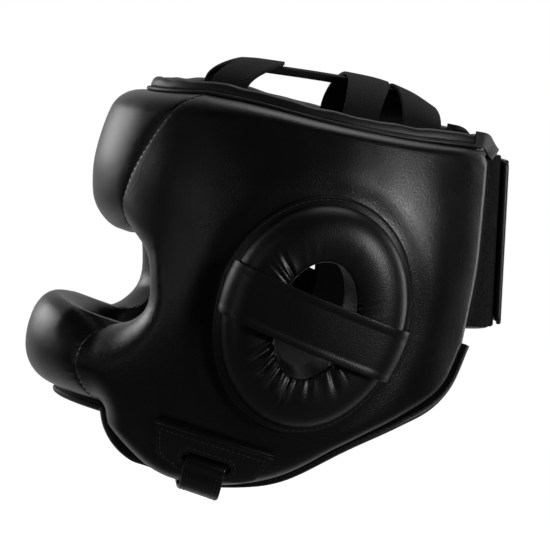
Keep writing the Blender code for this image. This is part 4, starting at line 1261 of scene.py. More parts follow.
@dataclass
class PaddedShell:
    """Forehead, face bar and both side panels, each with its cover, filling and lining."""

    bench: Bench
    fill: float = 0.9
    seam_gap: float = 0.0005
    front_grid_steps: tuple[int, int] = (84, 120)
    front_lining_steps: tuple[int, int] = (24, 36)
    front_draw: float = 1.3
    side_grid_steps: tuple[int, int] = (92, 5)
    side_lining_steps: tuple[int, int] = (24, 2)
    side_draw: float = 1.4
    outline_steps: tuple[int, ...] = (7, 7, 6, 9, 5, 13)
    first_column: float = math.radians(-85)
    column_draw: float = 0.2
    edge_rub: float = 0.8
    edge_rub_place: Pair = (0.75, 0.2)
    seam_rub: float = 0.4
    seam_rub_place: Pair = (0.005, 0.003)
    stitch_setback: float = 0.0012
    cut_share: float = 0.95
    swelling: Swelling = Swelling()

    def front_grid(self, seam: Stations, dips: Pair, rows: int, columns: int) -> Places:
        """Angles and heights of a front panel, from its lower to its upper edge."""
        evens = (np.linspace(-1.0, 1.0, count + 1) for count in (rows, columns))
        up, step = (np.sign(t) * (1 - (1 - np.abs(t)) ** self.front_draw) for t in evens)
        share = (up + 1) / 2
        z = seam_heights(seam, share)
        limit = np.radians(smooth_curve(seam, z)) - self.seam_gap / 2 / FORM.front_reach(z)
        dip = dips[0] + (dips[1] - dips[0]) * share
        return limit[:, None] * step, z[:, None] - dip[:, None] * (1 - step ** 2)

    def side_outline(self, factor: int) -> Array:
        """Places in side view round the side panel, from the bottom of the face bar's seam."""
        bar, eye, brow, top, rear, lower = (steps * factor for steps in self.outline_steps)
        setback = self.seam_gap / 2
        bar_seam = FORM.seam_places(FORM.face_bar_seam, np.linspace(0, 1, bar + 1), setback)
        brow_seam = FORM.seam_places(FORM.forehead_seam, np.linspace(0, 1, brow + 1), setback)
        return joined(bar_seam, FORM.eye_edge(eye)[1:-1], brow_seam, FORM.top_edge(top)[1:],
                      FORM.rear_edge(rear), FORM.lower_edge(lower)[1:-1])

    def side_grid(self, rows: int, factor: int) -> Places:
        """Angles and heights of the side panel from the ear hole out to its edges."""
        outline = self.side_outline(factor)
        count = len(outline)
        bearings = np.arctan2(outline[:, 1], outline[:, 0])
        turned = (bearings[0] - bearings) % FULL_TURN
        even = self.first_column - FULL_TURN * np.arange(count) / count
        direction = even + self.column_draw * (bearings[0] - turned - even)
        radius = EAR.hole_radius(direction) + FORM.cover + 2 * FORM.gap
        starts = spread(radius * np.cos(direction), radius * np.sin(direction))
        share = 1 - (1 - np.linspace(0, 1, rows + 1)) ** self.side_draw
        places = starts + (outline - starts) * share[:, None, None]
        y, z = places[..., 0], places[..., 1]
        return FORM.angle_at(y, z), z

    def panel(self, name: str, angle: Array, z: Array, ring: bool, side: Side, *nodes: str) -> None:
        """Padded body of one panel, which stands for its cover and its filling."""
        top = FORM.shell(angle, z, FORM.dressed_level(angle, z))
        bottom = FORM.shell(angle, z, FORM.inner_level(angle, z) + FORM.lining + FORM.gap)
        rise = FORM.rounded_rise(angle, z, FORM.thickness(angle, z))
        starts, ends = FORM.seam_runs
        off_seam, _ = nearest(FORM.outer(angle, z), starts, ends)
        worn_edge = self.edge_rub * hump(rise, *self.edge_rub_place)
        worn_seam = self.seam_rub * hump(off_seam, *self.seam_rub_place)
        rubbing = np.clip(worn_edge + worn_seam, 0, 1)
        if not ring:
            top = top + self.swelling.moves(top)
        piece = self.bench.pad(name, side.facing(top), side.facing(bottom), ring, rubbing)
        self.bench.finish(piece, self.bench.finishes.leather, Body.HEADGEAR, *nodes, angle=60.0)

    def lining(self, name: str, angle: Array, z: Array, ring: bool, side: Side, node: str,
               look: Look) -> None:
        """Lining of one panel as a sewn sheet."""
        if ring:
            angle = beside(angle, angle[:, :1])
            z = beside(z, z[:, :1])
        points = side.facing(FORM.shell(angle, z, FORM.inner_level(angle, z)))
        metres = spread(angle * FORM.front_reach(z), z)
        piece = self.bench.lay(name, points, metres)
        self.bench.close(piece)
        self.bench.face(piece, (-side.value, 0.0, 0.0) if ring else (0.0, 1.0, 0.0))
        self.bench.thicken(piece, FORM.lining)
        self.bench.finish(piece, look, Body.HEADGEAR, node)
        area = self.bench.area_of(points)

    def build(self) -> None:
        """Builds the four panels, their linings and the stitching in the seams."""
        looks = self.bench.finishes
        fronts = (
            ("forehead", FORM.forehead_seam, FORM.forehead_dips, "forehead_lining", looks.lining),
            ("face_bar", FORM.face_bar_seam, FORM.face_bar_dips, "face_bar_inner_cover", looks.leather),
        )
        for name, seam, dips, node, look in fronts:
            grid = self.front_grid(seam, dips, *self.front_grid_steps)
            self.panel(f"{name}_pad", *grid, False, Side.LEFT, f"{name}_cover", f"{name}_foam")
            grid = self.front_grid(seam, dips, *self.front_lining_steps)
            self.lining(f"{name}_inside", *grid, False, Side.LEFT, node, look)
        grid = self.side_grid(*self.side_grid_steps)
        thin = self.side_grid(*self.side_lining_steps)
        for side in Side:
            label = side.label
            self.panel(f"side_pad_{label}", *grid, True, side, f"side_cover_{label}", f"side_foam_{label}")
            self.lining(f"side_inside_{label}", *thin, True, side, f"side_lining_{label}", looks.lining)
            self.seam_stitches(side)

    def seam_stitches(self, side: Side) -> None:
        """Small stitches in the forehead seam and in the seam of the face bar."""
        for name, seam, shares in (("forehead", FORM.forehead_seam, (0.04, 0.99)),
                                   ("face_bar", FORM.face_bar_seam, (0.06, 0.94))):
            z = seam_heights(seam, np.linspace(*shares, 60))
            angle = np.radians(smooth_curve(seam, z)) + self.stitch_setback / FORM.front_reach(z)
            line = side.facing(FORM.shell(angle, z, FORM.dressed_level(angle, z)))
            normals = side.facing(FORM.outward(angle, z))
            self.bench.sew(f"{name}_seam_stitches_{side.label}", line, normals, Body.HEADGEAR, pitch=0.0036,
                           length=0.0024, width=0.0007, lift=0.2)


@dataclass
class EarRings:
    """Gathered padded rings about the ear openings, with the band across each."""

    bench: Bench
    steps: int = 480
    crown_steps: int = 50
    overhang: float = 0.0036
    gathers_seed: int = 7
    gather_groups: tuple[tuple[float, float, int, float], ...] = (
        (math.radians(-122), 0.34, 17, 0.0015), (math.radians(-75), 0.30, 7, 0.0008),
        (math.radians(132), 0.22, 11, 0.0006), (math.radians(20), 1.10, 9, 0.0003))
    band_width: float = 0.0285
    band_tilt: float = math.radians(-13.5)
    band_centre: float = -0.0032
    band_ends: Pair = (-1.0, 0.97)
    band_thickness: float = 0.002
    band_gap: float = 0.0009
    band_end_pull: float = 0.9
    band_fold: float = 0.0005
    band_fold_span: Pair = (0.36, 0.42)
    band_rub_span: Pair = (0.44, 0.50)
    band_row: float = 0.40
    row_share: float = 0.97
    flange_rounding: float = 0.85
    stitch_place: Pair = (0.55, 0.95)
    under_shares: tuple[float, ...] = (0.94, 0.6, 0.3)
    fill: float = 0.8

    @cached_property
    def folds(self) -> Array:
        """Direction, half width, depth and length of every fold that runs into the hole."""
        pick = np.random.default_rng(self.gathers_seed)
        groups = []
        for middle, reach, count, depth in self.gather_groups:
            directions = middle + reach * pick.uniform(-1.6, 1.6, count)
            near = np.exp(-0.5 * ((directions - middle) / reach) ** 2)
            groups.append(spread(directions, pick.uniform(0.022, 0.060, count),
                                 depth * near * pick.uniform(0.5, 1.3, count),
                                 pick.uniform(0.25, 0.75, count)))
        return joined(*groups)

    def gathers(self, direction: Array, share: Array) -> Array:
        """Depth of the folds in the ring's cover, drawn together below and ahead of the hole."""
        drawn = np.zeros(np.broadcast(direction, share).shape)
        for middle, width, depth, length in self.folds:
            off = np.angle(np.exp(1j * (direction - middle))) / width
            ridge = np.exp(-off ** 2) - 0.6 * np.exp(-(np.abs(off) - 1.6) ** 2)
            drawn = drawn - depth * ridge * falling((0.1 * length, length), share)
        return drawn * ease(share / 0.05 + 0.3)

    def ring(self, side: Side) -> None:
        """Padded ring with its sewn flange and the tube that lines the hole."""
        direction = np.linspace(0, FULL_TURN, self.steps, endpoint=False)[:, None]
        hole = EAR.hole_radius(direction)
        flange = EAR.ring_radius(direction) - EAR.flange_width

        def places(share: Array | float, beyond: Array | float = 0.0) -> Places:
            """Places in side view, from the hole (0) to the flange (1) and beyond."""
            radius = hole + (flange - hole) * share + beyond
            return radius * np.cos(direction), radius * np.sin(direction)

        turn = np.linspace(math.pi, 0, self.crown_steps)
        swing = np.cos(turn)
        share = np.where(swing < 0, EAR.crest * (1 + swing), EAR.crest + (1 - EAR.crest) * swing)[None, :]
        roll = np.where(swing < 0, -self.overhang * np.sin(2 * turn) ** 2, 0.0)[None, :]
        height = EAR.ring_height(share) + self.gathers(direction, share)
        crown = FORM.over_cover(*places(share, roll), height)
        y, z = places(0.0)
        rim = FORM.dressed_level(FORM.angle_at(y, z), z) + EAR.flange_height
        tube = FORM.side(y, z, rim * np.linspace(0, 1, 8)[None, :-1])
        edge = np.linspace(0, 1, 9)[None, 1:]
        skirt = FORM.over_cover(*places(1.0, EAR.flange_width * edge),
                                EAR.flange_height * np.sqrt(1 - self.flange_rounding * edge ** 6))
        under = beside(FORM.over_cover(*places(1.0, EAR.flange_width), FORM.laid_on_gap),
                       FORM.over_cover(*places(np.array([self.under_shares])), FORM.laid_on_gap))
        back = places(0.0, FORM.cover)
        turned = beside(FORM.over_cover(*back, FORM.laid_on_gap), FORM.side(*back, 0.0))
        sections = beside(tube, crown, skirt, under, turned)
        piece = self.bench.sweep(f"ear_ring_{side.label}", side.facing(sections), closed=True)
        self.bench.finish(piece, self.bench.finishes.band_leather, Body.HEADGEAR,
                          f"ear_ring_cover_{side.label}", f"ear_ring_foam_{side.label}", angle=60.0)
        outwards, upwards = self.stitch_place
        y, z = (part[:, 0] for part in places(1.0, EAR.flange_width * outwards))
        rows = (FORM.over_cover(y, z, EAR.flange_height * upwards), FORM.side_outward(y, z))
        line, normals = (side.facing(joined(row, row[:1])) for row in rows)
        self.bench.sew(f"ear_ring_stitches_{side.label}", line, normals, Body.HEADGEAR)

    def band_points(self, run: Array, offset: Array, lift: Array | float) -> Array:
        """Points over the ring, at a run along the band (-1 to 1) and an offset across it."""
        span = np.sqrt(np.maximum(EAR.ring_half_width ** 2 - (self.band_end_pull * offset) ** 2, 0.0))
        along = run * (span - EAR.flange_width / 2)
        y = along * math.cos(self.band_tilt) - offset * math.sin(self.band_tilt)
        z = along * math.sin(self.band_tilt) + offset * math.cos(self.band_tilt)
        direction = np.arctan2(z, y)
        hole = EAR.hole_radius(direction)
        flange = EAR.ring_radius(direction) - EAR.flange_width
        share = (np.hypot(y, z) - hole) / (flange - hole)
        height = EAR.ring_height(np.clip(share, EAR.crest, 1.0)) + self.band_gap + self.band_thickness
        return FORM.over_cover(y, z, height + lift)

    def band(self, side: Side) -> None:
        """Flat leather band with folded edges and two rows of stitches."""
        across = np.linspace(-0.5, 0.5, 29)[:, None]
        run = np.linspace(*self.band_ends, 121)[None, :]
        offset = self.band_centre + self.band_width * across
        fold = self.band_fold * rising(self.band_fold_span, np.abs(across))
        points = self.band_points(run, offset, fold)
        piece = self.bench.lay(f"ear_crossband_{side.label}", side.facing(points))
        # The band gets its thickness outwards from the laid grid.
        self.bench.face(piece, (-side.value, 0.0, 0.0))
        worn = rising(self.band_rub_span, np.abs(across))
        self.bench.rub(piece, np.broadcast_to(worn, points.shape[:2]))
        self.bench.thicken(piece, self.band_thickness, 0.0004)
        looks = self.bench.finishes
        self.bench.finish(piece, looks.band_leather, Body.HEADGEAR, f"ear_band_{side.label}")
        for name, place in (("upper", self.band_row), ("lower", -self.band_row)):
            run = np.linspace(*self.band_ends, 90) * self.row_share
            offset = np.full_like(run, self.band_centre + self.band_width * place)
            line = self.band_points(run, offset, self.band_fold)
            above = self.band_points(run, offset, self.band_fold + 0.001)
            # The band's rows take the paler thread, a painted highlight on the stitches.
            self.bench.sew(f"ear_crossband_stitches_{name}_{side.label}", side.facing(line),
                           side.facing(unit(above - line)), Body.HEADGEAR, pitch=0.0030, length=0.0021,
                           width=0.0008, lift=0.35, look=looks.band_thread)

    def build(self) -> None:
        """Builds both rings and bands."""
        for side in Side:
            self.ring(side)
            self.band(side)


@dataclass
class Bindings:
    """Folded bindings along the free edges, with their stitching and the piping under the top one."""

    bench: Bench
    height: float = 0.0095
    overlap: float = 0.0010
    lower_drop: Stations = ((-0.110, 0.0070), (-0.103, 0.0092), (-0.094, 0.0098), (-0.084, 0.0080),
                            (-0.072, 0.0045), (-0.055, 0.0040), (-0.020, 0.0040), (0.030, 0.0050),
                            (0.060, 0.0056), (0.076, 0.0062), (0.0845, 0.0050))
    lower_setout: Stations = ((-0.112, 0.0140), (-0.097, 0.0150), (-0.086, 0.0120), (-0.076, 0.0050),
                              (-0.066, 0.0010), (-0.030, 0.0020), (-0.005, 0.0050), (0.0845, 0.0060))
    face_bar_drop: float = 0.0060
    face_bar_setout: float = 0.0140
    joint_gap: float = 0.0015
    hanging: Pair = (-0.084, -0.068)
    steep_runs: Pair = (0.12, 0.42)
    piping: float = 0.0012
    piping_place: Pair = (0.6, 1.3)
    waviness: float = 0.00025
    groove: float = 0.0007
    stitch_share: float = 0.24
    stitch_sink: float = 0.8
    fold_shares: Pair = (0.7, 0.4)
    inner_step: float = 0.0012
    rim_shares: Stations = ((0.46, -0.35), (0.36, 0.1), (0.30, 0.9), (0.14, 0.8), (0.04, 0.5))
    tab_length: float = 0.0125
    tab_thickness: float = 0.0012
    tab_across: Pair = (0.08, 0.92)
    tab_along: Pair = (-0.35, 0.75)
    tab_turn: float = math.radians(38)
    tab_turn_span: Pair = (-0.1, 0.6)
    tab_wave: Pair = (0.0003, 9.0)

    def frames(self, angle: Array, z: Array, away: Array | None,
               setouts: Array) -> tuple[Array, Array, Array]:
        """Foot points along an edge, outward directions and directions that lead off the panel.

        Args:
            angle: Angles along the edge.
            z: Heights along the edge.
            away: Direction that leads away from the panel, or none for away from the ear.
            setouts: Levels at which the binding's inner face lies.

        Returns:
            The three arrays. Near the face bar the binding stands off in the plane of the side view.
        """
        bases = FORM.shell(angle, z, setouts)
        run = unit(np.gradient(bases, axis=0))
        out = FORM.outward(angle, z)
        off = unit(np.cross(out, run))
        lead = bases * IN_SIDE_VIEW if away is None else away
        off[np.sum(off * lead, axis=1) < 0] *= -1
        low = ((z < 0) * falling(self.hanging, bases[:, 1]))[:, None]
        level = spread(0.0, run[:, 2], -run[:, 1])
        level *= np.where(level[:, 2:] > 0, -1.0, 1.0)
        steep = rising(self.steep_runs, np.abs(run[:, 2]))[:, None]
        hang = unit(-UP * (1 - steep) + level * steep)
        off = unit(off + low * (hang - off))
        return bases, unit(out - off * np.sum(out * off, axis=1, keepdims=True)), off

    def outline(self, heights: Array) -> Places:
        """Level and drop of the folded tape's outline, with a round fold over a sewn groove."""
        inner = -self.overlap
        outer = FORM.edge_thickness + self.overlap
        middle = (inner + outer) / 2
        half = (outer - inner) / 2
        turn = np.linspace(math.pi, 0, 15)
        tall = heights[:, None]
        fold = np.minimum(half * self.fold_shares[0], tall * self.fold_shares[1])
        rim = [outer - self.groove * depth for _, depth in self.rim_shares]
        levels = joined([inner, inner], middle + half * np.cos(turn), rim)
        low = np.full_like(tall, FORM.gap)
        step = np.full_like(tall, self.inner_step)
        below = tall * np.array([[share for share, _ in self.rim_shares]])
        drops = beside(low, step, tall - fold + fold * np.sin(turn), np.maximum(below, FORM.gap))
        return np.broadcast_to(levels, drops.shape), drops

    def bind(self, name: str, angle: Array, z: Array, heights: Array, setouts: Array, away: Array | None,
             side: Side, node: str) -> tuple[Array, Array, Array]:
        """Binding along one edge with its row of stitches, and the frames that it follows."""
        bases, out, off = self.frames(angle, z, away, setouts)
        levels, drops = self.outline(heights)
        sections = bases[:, None] + out[:, None] * levels[..., None] + off[:, None] * drops[..., None]
        piece = self.bench.sweep(name, side.facing(sections))
        self.bench.finish(piece, self.bench.finishes.binding, Body.HEADGEAR, node, angle=40.0)
        level = FORM.edge_thickness + self.overlap - self.stitch_sink * self.groove
        line = bases + out * level + off * (heights * self.stitch_share)[:, None]
        self.bench.sew(f"{name}_stitches", side.facing(line), side.facing(out), Body.HEADGEAR, pitch=0.0036,
                       length=0.0026, width=0.0006)
        return bases, out, off

    def top_line(self, steps: int) -> Places:
        """Angles and heights along the whole top edge, from the right rear to the left rear."""
        y, z = FORM.top_edge(steps).T
        left = FORM.angle_at(y, z)
        front_angle, front_z = FORM.front_edge(FORM.forehead_seam, FORM.forehead_dips, True, steps)
        return joined(-left[::-1], front_angle[1:-1], left), joined(z[::-1], front_z[1:-1], z)

    def build(self) -> None:
        """Builds the top, lower and face bar bindings and the piping."""
        angle, z = self.top_line(90)
        waves = np.sin(19 * angle + 0.6) + 0.7 * np.sin(31 * angle + 2.0) + 1.0
        bases, out, off = self.bind("top_edge_binding", angle, z, self.height - self.waviness * waves,
                                    np.zeros_like(z), UP, Side.LEFT, "top_binding")
        outwards, upwards = (self.piping * share for share in self.piping_place)
        middle = bases + out * (FORM.edge_thickness + self.overlap + outwards) + off * upwards
        tube = round_sections(middle, out * self.piping, off * self.piping, 12)
        piping = self.bench.sweep("top_piping", tube)
        self.bench.finish(piping, self.bench.finishes.binding, Body.HEADGEAR, angle=80.0)
        y, z = FORM.lower_edge(130).T
        heights = smooth_curve(self.lower_drop, y)
        setouts = smooth_curve(self.lower_setout, y)
        for side in Side:
            self.bind(f"lower_edge_binding_{side.label}", FORM.angle_at(y, z), z, heights, setouts, None,
                      side, f"lower_binding_{side.label}")
            self.tab(side)
        low, limit = FORM.face_bar_seam[0]
        limit = math.radians(limit) - self.joint_gap / float(FORM.front_reach(low))
        angle = np.linspace(-limit, limit, 110)
        z = np.full_like(angle, low)
        self.bind("face_bar_edge_binding", angle, z, np.full_like(z, self.face_bar_drop),
                  np.full_like(z, self.face_bar_setout), -UP, Side.LEFT, "face_bar_binding")

    def tab(self, side: Side) -> None:
        """Folded end of the top binding, turned down over the rear corner."""
        y, z = FORM.top_edge(9)[-1]
        across = np.linspace(*self.tab_across, 13)[:, None] * self.height
        share = np.linspace(*self.tab_along, 23)[None, :]
        along = share * self.tab_length
        turn = self.tab_turn * rising(self.tab_turn_span, share)
        back = y + along * np.cos(turn) + across * np.sin(turn)
        up = z - along * np.sin(turn) + across * np.cos(turn)
        size, pace = self.tab_wave
        level = FORM.edge_thickness + self.overlap + self.tab_thickness + size * np.cos(share * pace)
        piece = self.bench.lay(f"binding_tab_{side.label}", side.facing(FORM.side(back, up, level)))
        self.bench.face(piece, (side.value, 0.0, 0.0))
        self.bench.thicken(piece, self.tab_thickness, 0.0004)
        self.bench.finish(piece, self.bench.finishes.binding, Body.HEADGEAR)


@dataclass
class CrownStraps:
    """Webbing straps over the crown."""

    bench: Bench
    width: float = 0.025
    thickness: float = 0.002
    crossing_gap: float = 0.0007
    centre_thickness: float = 0.0042
    bevels: Pair = (0.0004, 0.0010)
    camber: float = 0.0010
    depth_in_shell: float = 0.006
    binding_overlap: float = 0.0010
    binding_height: float = 0.0095
    rows: int = 13
    profile: Stations = ((-0.060, 0.1285), (-0.045, 0.1302), (0.018, 0.1315), (0.042, 0.1275),
                         (0.060, 0.1200))
    straps: tuple[tuple[str, float, float], ...] = (("front", -0.0785, -0.044), ("middle", 0.0125, 0.0165),
                                                    ("rear", 0.0550, 0.0445))

    @property
    def across(self) -> Array:
        """Places of the rows across a strap, in metres."""
        return self.width * np.linspace(-0.5, 0.5, self.rows)

    def web(self, name: str, points: Array, thickness: float, bevel: float) -> None:
        """Webbing on a grid of points, with its map across and along it."""
        metres = spread(self.across[:, None], arc_lengths(points[self.rows // 2])[None, :])
        piece = self.bench.lay(f"crown_web_{name}", points, metres)
        self.bench.face(piece, tuple(UP))
        self.bench.thicken(piece, thickness, bevel)
        self.bench.finish(piece, self.bench.finishes.webbing, Body.HEADGEAR, f"crown_strap_{name}")

    def cross_strap(self, name: str, base_y: float, crest_y: float) -> None:
        """Strap that arches from the left top edge to the right one."""
        foot_y = base_y + self.across
        level = -self.binding_overlap - FORM.laid_on_gap
        stations = (FORM.seam_end(FORM.forehead_seam, True), *FORM.top_points)
        edge_z = smooth_curve(stations, foot_y)
        foot = FORM.side(foot_y, edge_z - self.depth_in_shell, level)
        angle = FORM.angle_at(foot_y, edge_z)
        run = FORM.shell(angle + 0.01, edge_z, 0.0) - FORM.shell(angle - 0.01, edge_z, 0.0)
        up = unit(np.cross(run, FORM.outward(angle, edge_z)))
        up *= np.sign(up[:, 2:])
        lip = FORM.shell(angle, edge_z, level) + up * self.binding_height
        back = crest_y + self.across
        lift = smooth_curve(self.profile, back) - lip[:, 2]
        turn = (math.pi / 2 * (1 - np.linspace(0, 1, 41)))[None, :]
        crest = back[:, None]
        arch = spread(lip[:, :1] * np.sin(turn), crest + (lip[:, 1:2] - crest) * np.sin(turn) ** 2,
                      lip[:, 2:] + lift[:, None] * np.cos(turn))
        rise = np.linspace(0, 1, 9)[None, :-1, None]
        left = beside(foot[:, None] + (lip - foot)[:, None] * rise, arch)
        self.web(name, beside(left, Side.RIGHT.facing(left[:, -2::-1])), self.thickness, self.bevels[0])

    def build(self) -> None:
        """Builds the cross straps and the centre strap under them."""
        for strap in self.straps:
            self.cross_strap(*strap)
        front = self.straps[0][2] - self.width / 2
        rear = self.straps[-1][2] + self.width / 2
        y = np.linspace(front, rear, 61)[None, :]
        across = self.across[:, None]
        under = self.thickness + self.crossing_gap + self.camber * np.abs(2 * across / self.width)
        points = spread(across, y, smooth_curve(self.profile, y) - under)
        self.web("centre", points, self.centre_thickness, self.bevels[1])


@dataclass
class RearClosure:
    """Tongue with a loop panel on the left, and a strap with a hook panel from the right over it."""

    bench: Bench
    tongue: float = 0.003
    strap: float = 0.0026
    tape: float = 0.0014
    depth_top: float = 0.0155
    depth_bottom: float = 0.0260
    top: float = 0.0985
    bottom: float = 0.0045
    tongue_end: float = -0.024
    strap_end: float = 0.014
    hinge_x: float = 0.042
    root_gap: float = 0.0008
    foot_blend: float = 0.2
    margin: float = 0.003
    bend: float = 0.010
    swing: float = 1.15
    hem: Pair = (0.0016, 0.0021)
    hem_lift: float = 0.0003
    hem_taper: Pair = (0.35, 0.003)
    plain_steps: tuple[int, int] = (41, 72)
    fuzz_steps: tuple[int, int] = (190, 150)
    fuzz: float = 0.0004
    fuzz_seed: int = 3

    def root(self, z: Array) -> Array:
        """Foot of the closure, just behind the left side panel's rear edge."""
        stations = tuple((height, y) for y, height in reversed(FORM.rear_points))
        return FORM.side(smooth_curve(stations, z) + self.root_gap, z, FORM.lining)

    def straight_root(self, z: Array) -> Array:
        """The same foot on a straight line from its top to its bottom."""
        top = self.root(np.array(FORM.rear_points[0][1]))
        bottom = self.root(np.array(FORM.rear_points[-1][1]))
        share = (z - bottom[2]) / (top[2] - bottom[2])
        return bottom + (top - bottom) * np.asarray(share)[..., None]

    def share(self, x: float) -> float:
        """Distance from the middle of the back as a share of the closure's half width."""
        return x / float(self.straight_root(np.array((self.top + self.bottom) / 2))[0])

    def points(self, share: Array, z: Array, offset: Array | float) -> Array:
        """Points of the closure, from its left foot (1) to its right foot (-1), offset outwards."""
        share, z, offset = np.broadcast_arrays(share, z, offset)
        near_foot = (1 - ease((1 - np.abs(share)) / self.foot_blend))[..., None]
        root = self.straight_root(z) * (1 - near_foot) + self.root(z) * near_foot
        up = (z - self.bottom) / (self.top - self.bottom)
        depth = self.depth_bottom + (self.depth_top - self.depth_bottom) * up
        out = unit(spread(2 * depth * share / root[..., 0], 1.0, 0.0))
        place = spread(share * root[..., 0], root[..., 1] + depth * (1 - share ** 2), z)
        return place + out * offset[..., None]

    def sheet(self, name: str, shares: Pair, heights: Pair, offset: Offset,
              thickness: float, bevel: float, fuzz: float = 0.0) -> Piece:
        """Sheet between two shares and two heights, outwards from an offset, fuzzy or plain."""
        rows, columns = self.fuzz_steps if fuzz else self.plain_steps
        share = np.linspace(*sorted(shares), columns)[None, :]
        z = np.linspace(*heights, rows)[:, None]
        tufts = fuzz * np.random.default_rng(self.fuzz_seed).uniform(-1.0, 0.6, (z.size, share.size))
        inner = offset(share) if callable(offset) else offset
        piece = self.bench.lay(name, self.points(share, z, inner + thickness + tufts))
        self.bench.face(piece, (0.0, 1.0, 0.0))
        self.bench.thicken(piece, thickness, bevel)
        return piece

    def border(self, start: float, end: float, offset: Callable[[Array], Array]) -> Places:
        """Line of stitches round the strap's face and the outward directions along it."""
        reach = self.share(self.margin)
        low, high = self.bottom + self.margin, self.top - self.margin
        corners = [(start + reach, low), (end - reach, low), (end - reach, high), (start + reach, high),
                   (start + reach, low)]
        sides = zip(np.array(corners), np.array(corners[1:]))
        share, z = joined(*(np.linspace(near, far, 30) for near, far in sides)).T
        keep = np.concatenate(([True], np.hypot(np.diff(share), np.diff(z)) > 1e-9))
        share, z = share[keep], z[keep]
        line = self.points(share, z, offset(share))
        above = self.points(share, z, offset(share) + 0.001)
        return line, unit(above - line)

    def rolled_hem(self, strap_end: float, strap_level: float) -> None:
        """Rounded hem along the free end of the strap."""
        z = np.linspace(self.bottom + self.margin / 3, self.top - self.margin / 3, 60)
        middle = strap_level + self.strap - self.hem[1] + self.hem_lift
        centres, above, beyond = (self.points(np.full_like(z, strap_end + step), z, offset)
                                  for step, offset in ((0.0, middle), (0.0, middle + 0.001), (0.01, middle)))
        least, run = self.hem_taper
        size = least + (1 - least) * shoulder(np.minimum(z - z[0], z[-1] - z) / run)[:, None]
        wide = size * unit(beyond - centres) * self.hem[0]
        tall = size * unit(above - centres) * self.hem[1]
        piece = self.bench.sweep("rear_strap_hem", round_sections(centres, wide, tall, 20))
        self.bench.finish(piece, self.bench.finishes.band_leather, Body.REAR_STRAP, angle=70.0)

    def build(self) -> None:
        """Builds the tongue, its loop panel, the strap and its hook panel."""
        looks = self.bench.finishes
        hinge = self.share(-self.hinge_x)
        tongue_end = self.share(self.tongue_end)
        strap_end = self.share(self.strap_end)
        margin = self.share(self.margin)
        loop_level = self.tongue + FORM.laid_on_gap
        hook_level = loop_level + self.tape + FORM.gap
        strap_level = hook_level + self.tape + FORM.gap
        wing_level = self.tongue - self.strap

        def strap_offset(share: Array) -> Array:
            """Offset of the strap's inner face, which climbs from the wing onto the hook panel."""
            climb = ease((share - hinge) / (tongue_end - hinge) * self.swing)
            return wing_level + (strap_level - wing_level) * climb

        low, high = self.bottom - self.margin, self.top + self.margin
        tongue = self.sheet("rear_tongue_leather", (1.0, tongue_end), (low, high), 0.0, self.tongue, 0.0009)
        self.bench.finish(tongue, looks.leather, Body.HEADGEAR, "rear_tongue")
        heights = (low + self.margin / 2, high - self.margin / 2)
        loops = self.sheet("rear_loop_pile", (1.0 - margin, tongue_end + margin), heights, loop_level,
                           self.tape, 0.0, self.fuzz)
        self.bench.finish(loops, looks.loops, Body.HEADGEAR, "rear_loop_panel")
        strap = self.sheet("rear_strap_leather", (-1.0, strap_end), (self.bottom, self.top), strap_offset,
                           self.strap, 0.0008)
        middle = np.array((self.bottom + self.top) / 2)
        half_bend = self.share(self.bend / 2)
        start = self.points(np.array(hinge - half_bend), middle, self.tongue)
        end = self.points(np.array(hinge + half_bend), middle, self.tongue)
        self.bench.finish(strap, looks.leather, None, "rear_wing", "rear_strap")
        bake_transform(strap)
        line, normals = self.border(hinge + 2 * margin, strap_end,
                                    lambda share: strap_offset(share) + self.strap)
        self.bench.sew("rear_strap_stitches", line, normals, Body.REAR_STRAP, lift=-0.25)
        self.rolled_hem(strap_end, strap_level)
        heights = (self.bottom + self.margin, self.top - self.margin)
        hooks = self.sheet("rear_hook_pile", (tongue_end + 2 * margin, strap_end - margin), heights,
                           hook_level, self.tape, 0.0004)
        self.bench.finish(hooks, looks.hooks, Body.REAR_STRAP, "rear_hook_panel")


